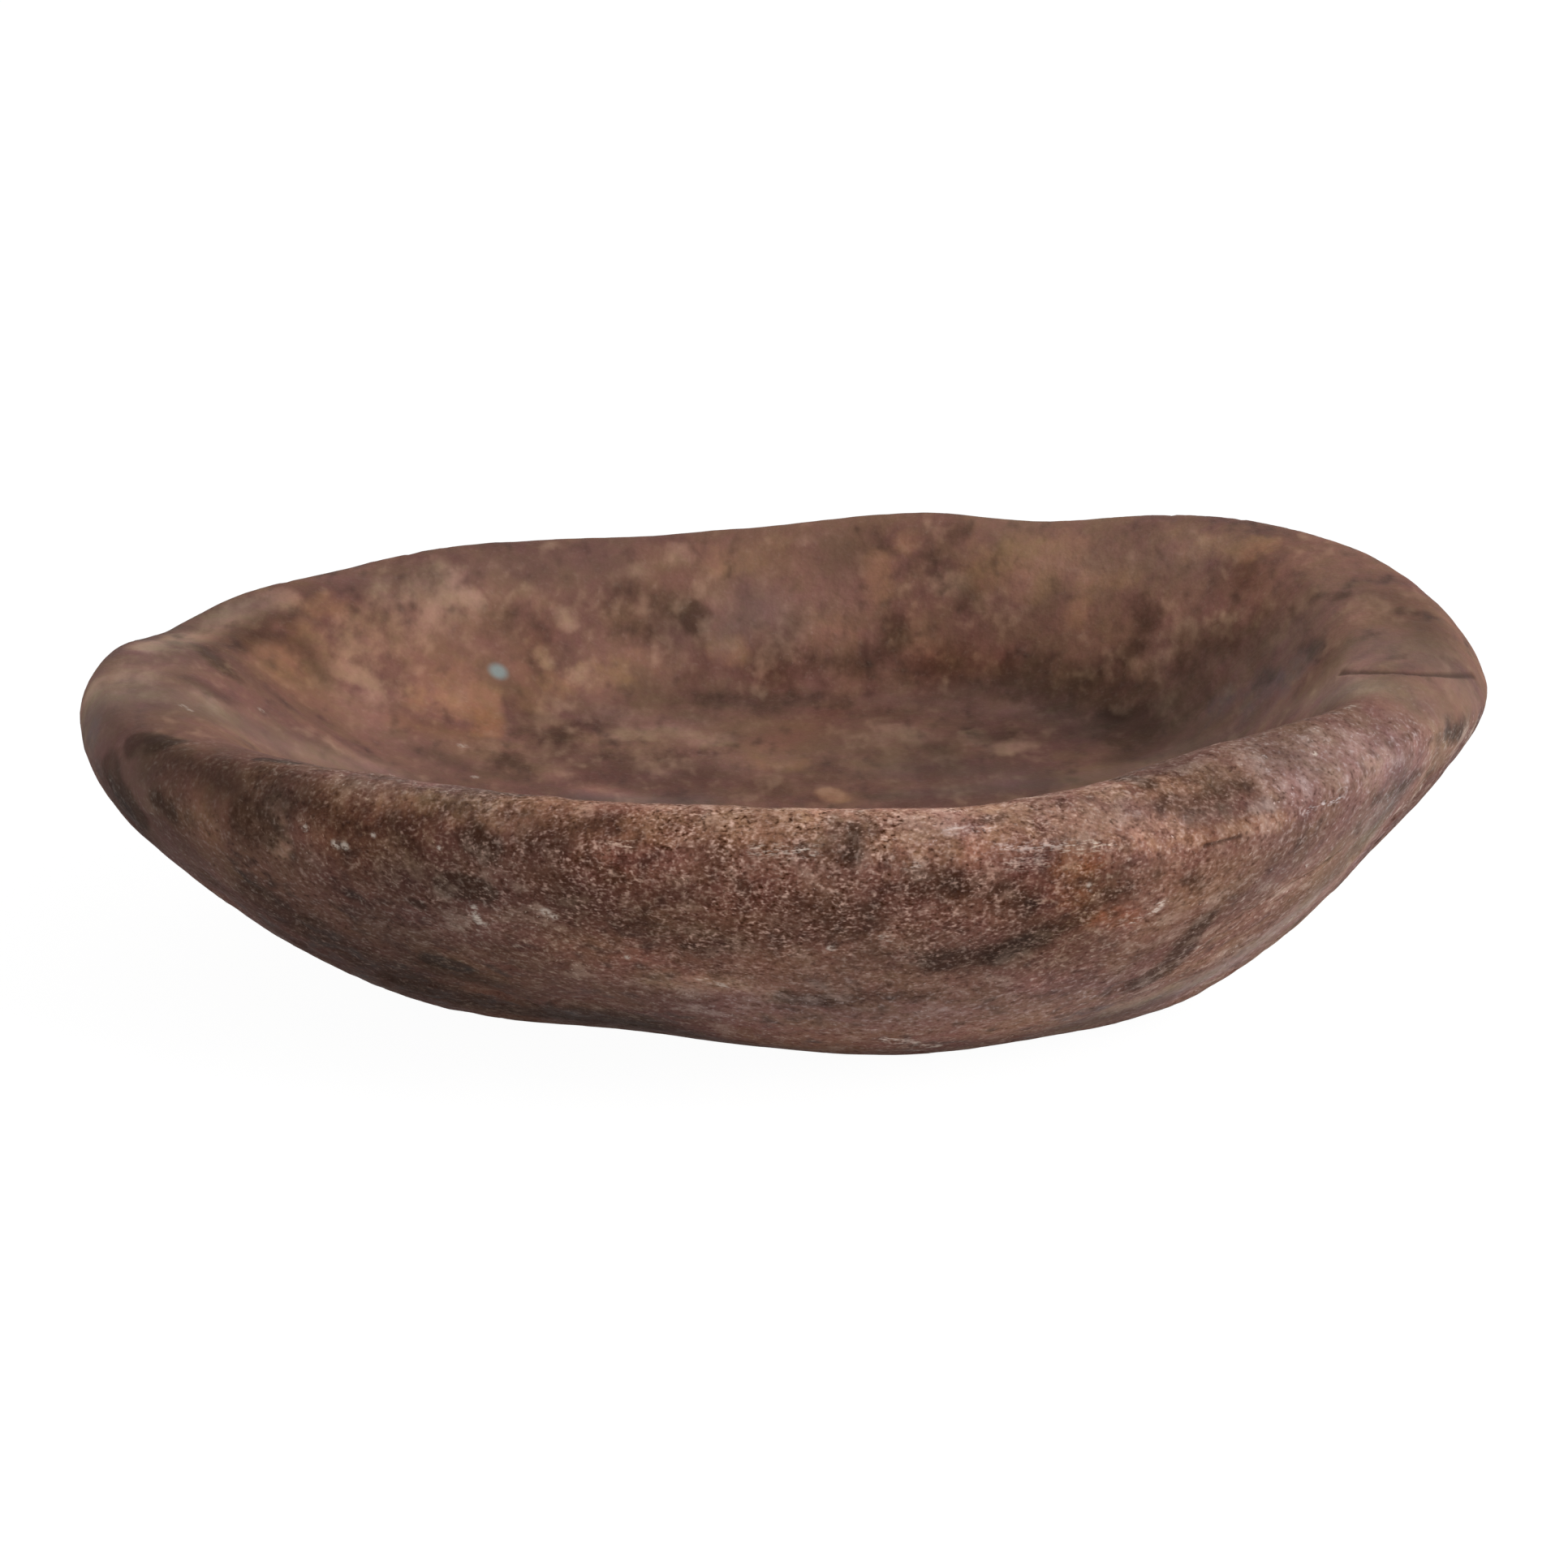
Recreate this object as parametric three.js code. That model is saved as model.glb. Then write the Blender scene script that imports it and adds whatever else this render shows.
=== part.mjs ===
// A shallow egg-shaped bowl, carved from one block of stone, with a thick rounded rim and a small flat foot.
// Lengths are in millimetres. The block has no seams, so the whole bowl is one body.
//
// A direction is an angle in degrees round the bowl, anticlockwise as seen from above:
// 0 is the front, 90 the right end, 180 the back and 270 the left end.
import * as THREE from "three";

// The outline of the rim, seen from above.
const LENGTH = 240;
const WIDTH = 203;
const RIM_SQUARENESS = 2.3;

// Where the carved outline leaves the plain oval. Each swell pushes it out, or in where it is negative.
const RIM_SWELLS = [
  { at: 138, spread: 28, push: 6 },
  { at: 222, spread: 30, push: -4 },
  { at: 22, spread: 24, push: 3 },
  { at: 63, spread: 21, push: -5.5 },
  { at: 315, spread: 26, push: -5 },
  { at: 91, spread: 14, push: 1.3 },
];

// The height of the rim, and where it climbs or dips on its way round.
const RIM_HEIGHT = 55;
const RIM_LIFT_AT_RIGHT = 3.5;
const RIM_RISES = [
  { at: 22, spread: 22, push: -1.6 },
  { at: 48, spread: 12, push: 1 },
  { at: 116, spread: 18, push: 2 },
  { at: 134, spread: 12, push: 1.5 },
  { at: 153, spread: 9, push: -1.5 },
  { at: 166, spread: 8, push: 1 },
  { at: 195, spread: 18, push: -1.5 },
  { at: 214, spread: 11, push: 1 },
  { at: 230, spread: 7, push: -0.6 },
  { at: 252, spread: 9, push: -2.5 },
  { at: 270, spread: 14, push: 2 },
  { at: 322, spread: 22, push: 1.5 },
];

// The rounded lip: its width, how far in from the outside its crest lies, and how far below the crest
// the shoulder lies, where the bowl is widest. The roundness fills the lip out towards a quarter circle,
// and the sharpness turns the shoulder from a soft bend into an edge.
const LIP_WIDTH = { front: 15, right: 27, back: 15, left: 23 };
const CREST_INSET = { front: 6, right: 10, back: 6, left: 6 };
const SHOULDER_DROP = { front: 4.2, right: 12, back: 8, left: 8 };
const SHOULDER_ROUNDNESS = { front: 0.25, right: 0.34, back: 0.55, left: 0.5 };
const SHOULDER_SHARPNESS = { front: 0.3, right: 0, back: 0, left: 0 };
const INNER_EDGE_DROP = { front: 6, right: 4, back: 6, left: 4 };

// Where the crest lies further in than that, and where the lip is wider, or narrower where it is negative.
// The floor of the hollow keeps its plain outline there, and the wall above it grows steeper or gentler.
const CREST_SWELLS = [{ at: 40, spread: 18, push: 4.5 }];
const LIP_SWELLS = [
  { at: 36, spread: 16, push: 4 },
  { at: 62, spread: 15, push: -8 },
];

// The shoulder wanders as it was carved. Each dip puts it lower below the crest, or higher where it is
// negative.
const SHOULDER_DIPS = [
  { at: 22, spread: 8, push: -1.5 },
  { at: 36, spread: 10, push: 2 },
  { at: 68, spread: 16, push: -5 },
  { at: 325, spread: 18, push: 1.5 },
];

// The outer wall flares from the foot up to the shoulder, where it stands upright.
const FLARE_ANGLE = { front: 24, right: 22, back: 24, left: 15 };
const FLARE_RUN = 0.42;
const UPRIGHT_SHARE = { front: 0.35, right: 0.15, back: 0.35, left: 0.24 };

// The foot: the flat that the bowl rests on, and its soft edge.
const FOOT_LENGTH = 120;
const FOOT_WIDTH = 102;
const FOOT_SQUARENESS = 2.4;
const FOOT_TOWARD_RIGHT = 4;
const FOOT_ROUNDING = 4;
const FOOT_SWELLS = [
  { at: 20, spread: 18, push: 3.5 },
  { at: 64, spread: 16, push: 4.6 },
  { at: 300, spread: 16, push: 3.5 },
  { at: 330, spread: 20, push: -5 },
];

// The hollow: how thick the stone is under its middle, how far its floor rises towards the wall,
// how far the wall runs inward on its way down, and how steeply it leaves the lip.
const FLOOR_THICKNESS = 25;
const FLOOR_DISH = 3;
const INNER_WALL_RUN = { front: 20, right: 34, back: 20, left: 46 };
const INNER_WALL_ANGLE = { front: 54, right: 50, back: 52, left: 30 };

// How finely the curves are cut into facets.
const SECTORS = 96;
const FACETS = { footEdge: 2, outerWall: 9, lipOutside: 5, lipInside: 5, innerWall: 8, floor: 5 };

// A curve that leaves one point and meets the next along given directions bends evenly when each
// handle is this share of the way across.
const ROUND_HANDLE = 0.5523;

const STONE = new THREE.MeshStandardMaterial({ color: 0x6b4c42, roughness: 0.9, metalness: 0 });

// A size that differs from side to side, taken for one direction.
function sized(sides, direction) {
  const angle = THREE.MathUtils.degToRad(direction);
  const across = Math.cos(angle);
  const along = Math.sin(angle);
  const acrossSize = across > 0 ? sides.front : sides.back;
  const alongSize = along > 0 ? sides.right : sides.left;
  return across ** 2 * acrossSize + along ** 2 * alongSize;
}

// The sum of the local changes that a direction feels. Each one fades out smoothly over its spread.
function swelling(swells, direction) {
  let sum = 0;
  for (const { at, spread, push } of swells) {
    const away = THREE.MathUtils.euclideanModulo(direction - at + 180, 360) - 180;
    sum += push * Math.exp(-((away / spread) ** 2));
  }
  return sum;
}

// How far an oval of this length and width reaches from its middle. Squareness 2 is an ellipse.
function ovalReach(length, width, squareness, direction) {
  const angle = THREE.MathUtils.degToRad(direction);
  const across = Math.abs(Math.cos(angle)) / (width / 2);
  const along = Math.abs(Math.sin(angle)) / (length / 2);
  return (across ** squareness + along ** squareness) ** (-1 / squareness);
}

function rimReach(direction) {
  return ovalReach(LENGTH, WIDTH, RIM_SQUARENESS, direction) + swelling(RIM_SWELLS, direction);
}

function rimHeight(direction) {
  const towardRight = Math.sin(THREE.MathUtils.degToRad(direction));
  return RIM_HEIGHT + RIM_LIFT_AT_RIGHT * towardRight + swelling(RIM_RISES, direction);
}

// The foot sits a little to the right of the bowl's middle.
function footReach(direction) {
  const towardRight = Math.sin(THREE.MathUtils.degToRad(direction));
  const oval = ovalReach(FOOT_LENGTH, FOOT_WIDTH, FOOT_SQUARENESS, direction);
  return oval + FOOT_TOWARD_RIGHT * towardRight + swelling(FOOT_SWELLS, direction);
}

// The bowl's section in one direction, from the middle of the foot, up the outside, over the lip
// and down the inside to the middle of the floor. X is the distance from the middle and Y the height.
function section(direction) {
  const rim = rimReach(direction);
  const top = rimHeight(direction);
  const shoulder = top - sized(SHOULDER_DROP, direction) - swelling(SHOULDER_DIPS, direction);
  const shoulderRoundness = sized(SHOULDER_ROUNDNESS, direction);
  const foot = footReach(direction);
  const flare = THREE.MathUtils.degToRad(sized(FLARE_ANGLE, direction));
  const footCorner = new THREE.Vector2(foot, 0);
  const flareWay = new THREE.Vector2(Math.cos(flare), Math.sin(flare));
  const wallStart = footCorner.clone().addScaledVector(flareWay, FOOT_ROUNDING);
  const flareHandle = wallStart.clone().addScaledVector(flareWay, FLARE_RUN * (rim - foot));

  const crest = rim - sized(CREST_INSET, direction) - swelling(CREST_SWELLS, direction);
  const plainInnerEdge = rim - sized(LIP_WIDTH, direction);
  const innerEdge = plainInnerEdge - swelling(LIP_SWELLS, direction);
  const innerEdgeHeight = top - sized(INNER_EDGE_DROP, direction);
  const steepness = THREE.MathUtils.degToRad(sized(INNER_WALL_ANGLE, direction));
  const wallWay = new THREE.Vector2(-Math.cos(steepness), -Math.sin(steepness));
  const lip = new THREE.Vector2(innerEdge, innerEdgeHeight);
  const lipBend = (crest - innerEdge) * ROUND_HANDLE;
  const wallBend = (innerEdgeHeight - FLOOR_THICKNESS) * ROUND_HANDLE;
  const lipHandle = lip.clone().addScaledVector(wallWay, -lipBend / 2);
  const wallHandle = lip.clone().addScaledVector(wallWay, wallBend);

  const floorEdge = plainInnerEdge - sized(INNER_WALL_RUN, direction);
  const floorHeight = FLOOR_THICKNESS + FLOOR_DISH;
  const dishSlope = (2 * FLOOR_DISH) / floorEdge;
  const floorBend = sized(INNER_WALL_RUN, direction) * ROUND_HANDLE;

  const points = [new THREE.Vector2(0, 0)];
  const follow = (curve, facets) => points.push(...curve.getPoints(facets).slice(1));
  const footEdge = new THREE.Vector2(foot - FOOT_ROUNDING, 0);
  points.push(footEdge);
  follow(new THREE.QuadraticBezierCurve(footEdge, footCorner, wallStart), FACETS.footEdge);
  follow(
    new THREE.CubicBezierCurve(
      wallStart,
      flareHandle,
      new THREE.Vector2(rim, shoulder * (1 - sized(UPRIGHT_SHARE, direction))),
      new THREE.Vector2(rim, shoulder),
    ),
    FACETS.outerWall,
  );
  follow(
    new THREE.CubicBezierCurve(
      new THREE.Vector2(rim, shoulder),
      new THREE.Vector2(
        rim - (rim - crest) * sized(SHOULDER_SHARPNESS, direction),
        shoulder + (top - shoulder) * shoulderRoundness,
      ),
      new THREE.Vector2(crest + (rim - crest) * shoulderRoundness, top),
      new THREE.Vector2(crest, top),
    ),
    FACETS.lipOutside,
  );
  follow(
    new THREE.CubicBezierCurve(
      new THREE.Vector2(crest, top),
      new THREE.Vector2(crest - lipBend, top),
      lipHandle,
      lip,
    ),
    FACETS.lipInside,
  );
  follow(
    new THREE.CubicBezierCurve(
      lip,
      wallHandle,
      new THREE.Vector2(floorEdge + floorBend, floorHeight + dishSlope * floorBend),
      new THREE.Vector2(floorEdge, floorHeight),
    ),
    FACETS.innerWall,
  );
  follow(
    new THREE.QuadraticBezierCurve(
      new THREE.Vector2(floorEdge, floorHeight),
      new THREE.Vector2(floorEdge / 2, FLOOR_THICKNESS),
      new THREE.Vector2(0, FLOOR_THICKNESS),
    ),
    FACETS.floor,
  );
  return points;
}

// The bowl starts as a turned shape, and each of its sections is then carved to its own direction.
function bowlGeometry() {
  const geometry = new THREE.LatheGeometry(section(0), SECTORS);
  const position = geometry.getAttribute("position");
  const pointsPerSection = position.count / (SECTORS + 1);
  for (let sector = 0; sector <= SECTORS; sector += 1) {
    const direction = (360 * (sector % SECTORS)) / SECTORS;
    const angle = THREE.MathUtils.degToRad(direction);
    section(direction).forEach((point, index) => {
      const vertex = sector * pointsPerSection + index;
      position.setXYZ(vertex, point.x * Math.sin(angle), -point.x * Math.cos(angle), point.y);
    });
  }
  geometry.computeVertexNormals();
  geometry.computeBoundingBox();
  const middle = geometry.boundingBox.getCenter(new THREE.Vector3());
  geometry.translate(-middle.x, -middle.y, 0);
  return geometry;
}

const stoneBowl = new THREE.Group();
const bowl = new THREE.Mesh(bowlGeometry(), STONE);
bowl.name = "bowl";
stoneBowl.add(bowl);

export default stoneBowl;
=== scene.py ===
# %% [markdown]
# # A hand-carved stone bowl
#
# The real bowl is one block of brown, grainy stone. A carver hollowed it out, rounded the rim with a harder
# stone, and left wide lips at both ends. Years of handling have darkened it and rubbed its lip.
#
# The solid model already has the right shape and size, but its faces are flat facets. This lesson gives it a
# fine skin, the small unevenness of hand work, its pits and its crack, and the look of the stone itself.

# %% Load the solid model as the fixed frame
import math

import bmesh
import bpy
import numpy as np
from mathutils import Matrix, Vector, noise
from mathutils.bvhtree import BVHTree


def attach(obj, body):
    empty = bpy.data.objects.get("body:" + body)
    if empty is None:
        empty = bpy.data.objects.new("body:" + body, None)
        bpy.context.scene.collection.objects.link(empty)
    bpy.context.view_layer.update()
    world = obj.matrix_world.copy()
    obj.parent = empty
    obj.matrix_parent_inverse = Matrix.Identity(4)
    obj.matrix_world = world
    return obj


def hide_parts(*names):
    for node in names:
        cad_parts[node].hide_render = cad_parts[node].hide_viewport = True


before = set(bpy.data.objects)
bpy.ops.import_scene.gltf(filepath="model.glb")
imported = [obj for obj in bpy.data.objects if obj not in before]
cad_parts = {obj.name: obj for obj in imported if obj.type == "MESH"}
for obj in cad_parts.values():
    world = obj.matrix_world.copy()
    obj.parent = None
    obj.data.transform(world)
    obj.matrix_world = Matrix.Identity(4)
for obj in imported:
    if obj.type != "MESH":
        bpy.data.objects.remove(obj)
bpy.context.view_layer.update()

MM = 0.001

# %% [markdown]
# ## The camera
#
# The photograph was taken from a little above the table. The far rim shows over the near one, so the camera
# looks down at about 16 degrees. From 0.9 metres away the bowl's ends keep the proportions that they have in
# the photograph. A camera's field of view can be given as a lens and a sensor: the focal length in pixels
# divided by the width of the picture in pixels is the same ratio as the lens divided by the sensor.

# %% Place the camera
IMAGE_SIDE = 1932
FOCAL_PIXELS = 6465
SENSOR_WIDTH_MM = 36
NEAREST_SEEN, FARTHEST_SEEN = 0.01, 50
CAMERA_ELEVATION = math.radians(16)
CAMERA_DISTANCE = 0.9
AIM = Vector((-0.65 * MM, 0, 31 * MM))

camera_data = bpy.data.cameras.new("camera")
camera_data.sensor_width = SENSOR_WIDTH_MM
camera_data.lens = SENSOR_WIDTH_MM * FOCAL_PIXELS / IMAGE_SIDE
camera_data.clip_start = NEAREST_SEEN
camera_data.clip_end = FARTHEST_SEEN
camera = bpy.data.objects.new("camera", camera_data)
bpy.context.scene.collection.objects.link(camera)
toward_camera = Vector((0, -math.cos(CAMERA_ELEVATION), math.sin(CAMERA_ELEVATION)))
camera.location = AIM + CAMERA_DISTANCE * toward_camera
camera.rotation_euler = (math.pi / 2 - CAMERA_ELEVATION, 0, 0)
bpy.context.scene.camera = camera
print("camera at", tuple(round(value, 3) for value in camera.location), "lens", round(camera_data.lens, 1))

# %% [markdown]
# ## Node helpers
#
# A procedural material is a small program drawn as boxes. Written in Python, each box takes several lines, so
# these helpers add a box and wire it up in one call. An input can be a plain value or another box's output.


# %% Helpers for material nodes
def add_node(tree, kind, inputs=(), **settings):
    node = tree.nodes.new(kind)
    for name, value in settings.items():
        setattr(node, name, value)
    for socket, value in dict(inputs).items():
        if isinstance(value, bpy.types.NodeSocket):
            tree.links.new(value, node.inputs[socket])
        else:
            node.inputs[socket].default_value = value
    return node


def maths(tree, operation, first, second):
    return add_node(tree, "ShaderNodeMath", {0: first, 1: second}, operation=operation).outputs[0]


def new_material(name):
    material = bpy.data.materials.new(name)
    material.use_nodes = True
    material.node_tree.nodes.clear()
    return material, material.node_tree


# %% [markdown]
# ## The floor and the light
#
# The bowl stands on white in the photograph, with the faintest shadow. A real white table would also take on
# some shade of its own, so the floor here answers two kinds of ray. To the camera it adds a glow that lifts
# it to white where nothing shades it. To light that bounces on towards the bowl it is plain pale paint, so
# the glow never lights the stone.
#
# The stone is lit by one large soft lamp from the upper right and by an even white sky. Large lamps make the
# soft, slow shading that the photograph has. Their strength is set so that a grey card on the floor would
# look as grey as it is painted.

# %% Make the floor
FLOOR_SIDE = 6.0
FLOOR_PAINT = (0.88, 0.88, 0.88, 1)
SEEN_PAINT = (0.1, 0.1, 0.1, 1)
WHITE = (1, 1, 1, 1)
FLOOR_GLOW = 0.965
FLOOR_GAP = 0.2 * MM

floor_mesh = bpy.data.meshes.new("floor")
half = FLOOR_SIDE / 2
corners = [(-half, -half, 0), (half, -half, 0), (half, half, 0), (-half, half, 0)]
floor_mesh.from_pydata(corners, [], [(0, 1, 2, 3)])
floor = bpy.data.objects.new("floor", floor_mesh)
floor.location.z = -FLOOR_GAP
bpy.context.scene.collection.objects.link(floor)


def seen_directly(tree):
    """1 for rays that show the background itself: to the camera, in a reflection or through glass."""
    rays = add_node(tree, "ShaderNodeLightPath").outputs
    either = maths(tree, "MAXIMUM", rays["Is Camera Ray"], rays["Is Glossy Ray"])
    return maths(tree, "MAXIMUM", either, rays["Is Transmission Ray"])


floor_material, tree = new_material("floor_paint")
plain_paint = add_node(tree, "ShaderNodeBsdfDiffuse", {"Color": FLOOR_PAINT}).outputs[0]
seen_paint = add_node(tree, "ShaderNodeBsdfDiffuse", {"Color": SEEN_PAINT}).outputs[0]
glow = add_node(tree, "ShaderNodeEmission", {"Color": WHITE, "Strength": FLOOR_GLOW}).outputs[0]
lifted = add_node(tree, "ShaderNodeAddShader", {0: seen_paint, 1: glow}).outputs[0]
shown = add_node(tree, "ShaderNodeMixShader", {0: seen_directly(tree), 1: plain_paint, 2: lifted}).outputs[0]
add_node(tree, "ShaderNodeOutputMaterial", {"Surface": shown})
floor_mesh.materials.append(floor_material)
print("floor", FLOOR_SIDE, "m wide")

# %% Make the lamp and the sky
SKY_FILL = 0.45
SKY_SEEN = 1.0
LAMP_SIDE = 1.3
LAMP_WATTS = 22
LAMP_PLACE = Vector((1.25, -0.5, 0.95))

world = bpy.data.worlds.new("sky")
bpy.context.scene.world = world
world.use_nodes = True
tree = world.node_tree
tree.nodes.clear()
fill = add_node(tree, "ShaderNodeBackground", {"Color": WHITE, "Strength": SKY_FILL}).outputs[0]
seen = add_node(tree, "ShaderNodeBackground", {"Color": WHITE, "Strength": SKY_SEEN}).outputs[0]
shown = add_node(tree, "ShaderNodeMixShader", {0: seen_directly(tree), 1: fill, 2: seen}).outputs[0]
add_node(tree, "ShaderNodeOutputWorld", {"Surface": shown})

lamp_data = bpy.data.lights.new("soft_lamp", "AREA")
lamp_data.shape = "SQUARE"
lamp_data.size = LAMP_SIDE
lamp_data.energy = LAMP_WATTS
lamp = bpy.data.objects.new("soft_lamp", lamp_data)
lamp.location = LAMP_PLACE
lamp.rotation_euler = (AIM - LAMP_PLACE).to_track_quat("-Z", "Y").to_euler()
bpy.context.scene.collection.objects.link(lamp)
bpy.context.scene.view_settings.view_transform = "Standard"
print("lamp of", LAMP_WATTS, "W and a sky of", SKY_FILL)

# %% [markdown]
# ## The skin of the bowl
#
# The solid is cut into facets a few millimetres wide. Rounding them is a job for a subdivision surface, which
# bends evenly only over four-sided faces, so pairs of triangles are first joined. The rings of faces still
# crowd in the middle of the floor and spread out at the rim. A voxel remesh then lays an even net of about
# one millimetre over the whole bowl, and a light smoothing settles it. Smoothing also shrinks every bulge a
# little, so each point of the net is then drawn back to the nearest place of the rounded solid. The net is
# fine enough to carve into.


# %% Helpers for meshes
def apply_modifier(mesh, kind, **settings):
    """Returns a new mesh: the old one with this modifier applied. The old one is removed."""
    holder = bpy.data.objects.new("holder", mesh)
    bpy.context.scene.collection.objects.link(holder)
    modifier = holder.modifiers.new(kind, kind)
    for name, value in settings.items():
        setattr(modifier, name, value)
    graph = bpy.context.evaluated_depsgraph_get()
    applied = bpy.data.meshes.new_from_object(holder.evaluated_get(graph))
    bpy.data.objects.remove(holder)
    bpy.data.meshes.remove(mesh)
    return applied


def surface_tree(mesh):
    """A search tree that finds the nearest place of a surface, or where a ray meets it."""
    places = [vertex.co for vertex in mesh.vertices]
    return BVHTree.FromPolygons(places, [tuple(face.vertices) for face in mesh.polygons])


def vectors_of(items, name):
    """Three numbers for each item of a mesh, such as its points' places or normals."""
    flat = np.empty(3 * len(items), np.float32)
    items.foreach_get(name, flat)
    return flat.reshape(-1, 3).astype(np.float64)


def move_points(mesh, places):
    mesh.vertices.foreach_set("co", places.astype(np.float32).ravel())
    mesh.update()


# %% Round the facets
WELD_DISTANCE = 0.001 * MM
ROUNDING_LEVELS = 2

net = bmesh.new()
net.from_mesh(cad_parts["bowl"].data)
bmesh.ops.remove_doubles(net, verts=net.verts, dist=WELD_DISTANCE)
bmesh.ops.join_triangles(
    net, faces=net.faces, angle_face_threshold=math.pi, angle_shape_threshold=math.pi
)
skin = bpy.data.meshes.new("skin")
net.to_mesh(skin)
net.free()
triangles = sum(len(face.vertices) == 3 for face in skin.polygons)
print("joined faces:", len(skin.polygons), "of them triangles:", triangles)
skin = apply_modifier(skin, "SUBSURF", levels=ROUNDING_LEVELS, render_levels=ROUNDING_LEVELS)
rounded = surface_tree(skin)

# %% Lay an even net over the rounded solid
NET_PITCH = 1.12 * MM
SMOOTHING = 0.5
SMOOTHING_ROUNDS = 3

skin = apply_modifier(skin, "REMESH", mode="VOXEL", voxel_size=NET_PITCH)
skin = apply_modifier(skin, "SMOOTH", factor=SMOOTHING, iterations=SMOOTHING_ROUNDS)
shrunk = vectors_of(skin.vertices, "co")
settled = np.array([rounded.find_nearest(point)[0] for point in shrunk])
move_points(skin, settled)
print("even net:", len(skin.vertices), "points")
print("drawn back by up to", round(np.linalg.norm(settled - shrunk, axis=1).max() / MM, 2), "mm")

# %% [markdown]
# ## Finding a place on the bowl from the photograph
#
# Stains, pits and the crack belong where the photograph shows them. A ray from the camera through a point of
# the picture, a pixel counted from its top left corner, hits the bowl where the mark is. The mark is then
# really on the stone, and stays there from any side.

# %% A ray from a pixel to the stone
stone_tree = surface_tree(skin)
camera_turn = Matrix.Rotation(math.pi / 2 - CAMERA_ELEVATION, 3, "X")


def on_stone(pixel):
    """The point of the bowl that the camera sees at this pixel."""
    across = (pixel[0] - IMAGE_SIDE / 2) / FOCAL_PIXELS
    up = (IMAGE_SIDE / 2 - pixel[1]) / FOCAL_PIXELS
    hit = stone_tree.ray_cast(camera.location, camera_turn @ Vector((across, up, -1)))[0]
    if hit is None:
        raise ValueError(f"no stone at pixel {pixel}")
    return hit


MIDDLE_PIXEL = (IMAGE_SIDE / 2, IMAGE_SIDE / 2)
middle_place = [round(value / MM, 1) for value in on_stone(MIDDLE_PIXEL)]
print("the middle of the picture is at", middle_place, "mm")

# %% [markdown]
# ## Cutting the marks into the net
#
# The crack and the two scratched lines are narrower than the net's meshes. A net three times as fine all over
# would be nine times as heavy, so it is made finer only along them, by cutting each nearby edge in three.

# %% Follow the thin marks over the stone
# Each mark: pixels of the photograph, and half its width in millimetres.
THIN_MARKS = {
    "crack across the right lip": ((1651, 829), (1700, 829), (1760, 831), (1816, 832), 1.1),
    "short groove under the front lip": ((1484, 1042), (1504, 1037), (1528, 1031), 0.5),
    "line along the right flank": ((1500, 1148), (1560, 1112), (1610, 1078), (1650, 1050), 0.6),
}
PIXEL_STEP = 12


def under_line(pixels):
    """Places on the stone under a line through these pixels, close enough together to follow its curve."""
    places = [on_stone(pixels[0])]
    for start, end in zip(pixels[:-1], pixels[1:]):
        steps = math.ceil(math.dist(start, end) / PIXEL_STEP)
        for step in range(1, steps + 1):
            share = step / steps
            places.append(on_stone([a + (b - a) * share for a, b in zip(start, end)]))
    return places


def distance_to_path(points, path):
    """How far each point is from a line drawn through the places of the path."""
    nearest = np.full(len(points), np.inf)
    for start, end in zip(path[:-1], path[1:]):
        start, way = np.array(start), np.array(end) - np.array(start)
        share = np.clip((points - start) @ way / (way @ way), 0, 1)
        away = np.linalg.norm(points - start - share[:, None] * way, axis=1)
        nearest = np.minimum(nearest, away)
    return nearest


thin_paths = [under_line(pixels) for *pixels, half_width_mm in THIN_MARKS.values()]
print("places along the thin marks:", [len(path) for path in thin_paths])

# %% Make the net finer along the thin marks
MARK_MARGIN = 1.6 * MM
CUTS_PER_EDGE = 2
MOST_CORNERS = 4

net_points = vectors_of(skin.vertices, "co")
near_mark = np.zeros(len(net_points), bool)
for path in thin_paths:
    near_mark |= distance_to_path(net_points, path) < MARK_MARGIN
net = bmesh.new()
net.from_mesh(skin)
net.verts.ensure_lookup_table()
fine_edges = [edge for edge in net.edges if all(near_mark[vertex.index] for vertex in edge.verts)]
bmesh.ops.subdivide_edges(net, edges=fine_edges, cuts=CUTS_PER_EDGE, use_grid_fill=True)
bmesh.ops.triangulate(net, faces=[face for face in net.faces if len(face.verts) > MOST_CORNERS])
net.to_mesh(skin)
net.free()
print("net with fine bands:", len(skin.vertices), "points")

# %% [markdown]
# ## Carving
#
# Stone shaped by hand is never true. Broad swells come from the way it was worked down, smaller lumps from
# the blows, and pits from grains that broke out. Each kind is a layer of noise of its own size, and every
# point of the net moves along its own normal by the sum. The flat of the foot stays flat, because the bowl
# stands on it.
#
# The hollow and the lip were then ground and handled until they were smooth, while the outer wall stayed
# rough. How far a place is rubbed is kept on the net: the small lumps are lower there, and the grain shows
# less. The sharpest grit is on the front wall, under the lip.


# %% Helpers for what is kept on the net
def smooth_step(values, start, end):
    share = np.clip((values - start) / (end - start), 0, 1)
    return share * share * (3 - 2 * share)


def keep_on_net(name, values):
    skin.attributes.new(name, "FLOAT", "POINT").data.foreach_set("value", values.astype(np.float32))
    print(name, "from", round(float(values.min()), 2), "to", round(float(values.max()), 2))


# %% Mark where the stone is rubbed smooth
# How far the skin looks up, from -1 for straight down to 1 for straight up, where it begins to be rubbed and
# where it is wholly rubbed.
LOOKS_UP_FROM, LOOKS_UP_FULLY = -0.4, 0.35
ROUGH_UP_TO, SMOOTH_FROM = -82 * MM, -12 * MM
WORN_LEFT_END = 0.45
WORN_FROM, WORN_FULLY_FROM = 40 * MM, 110 * MM
GRITTY_REACH = 60 * MM
GRITTY_LOWEST, GRITTY_HIGHEST = 5 * MM, 50 * MM

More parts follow.
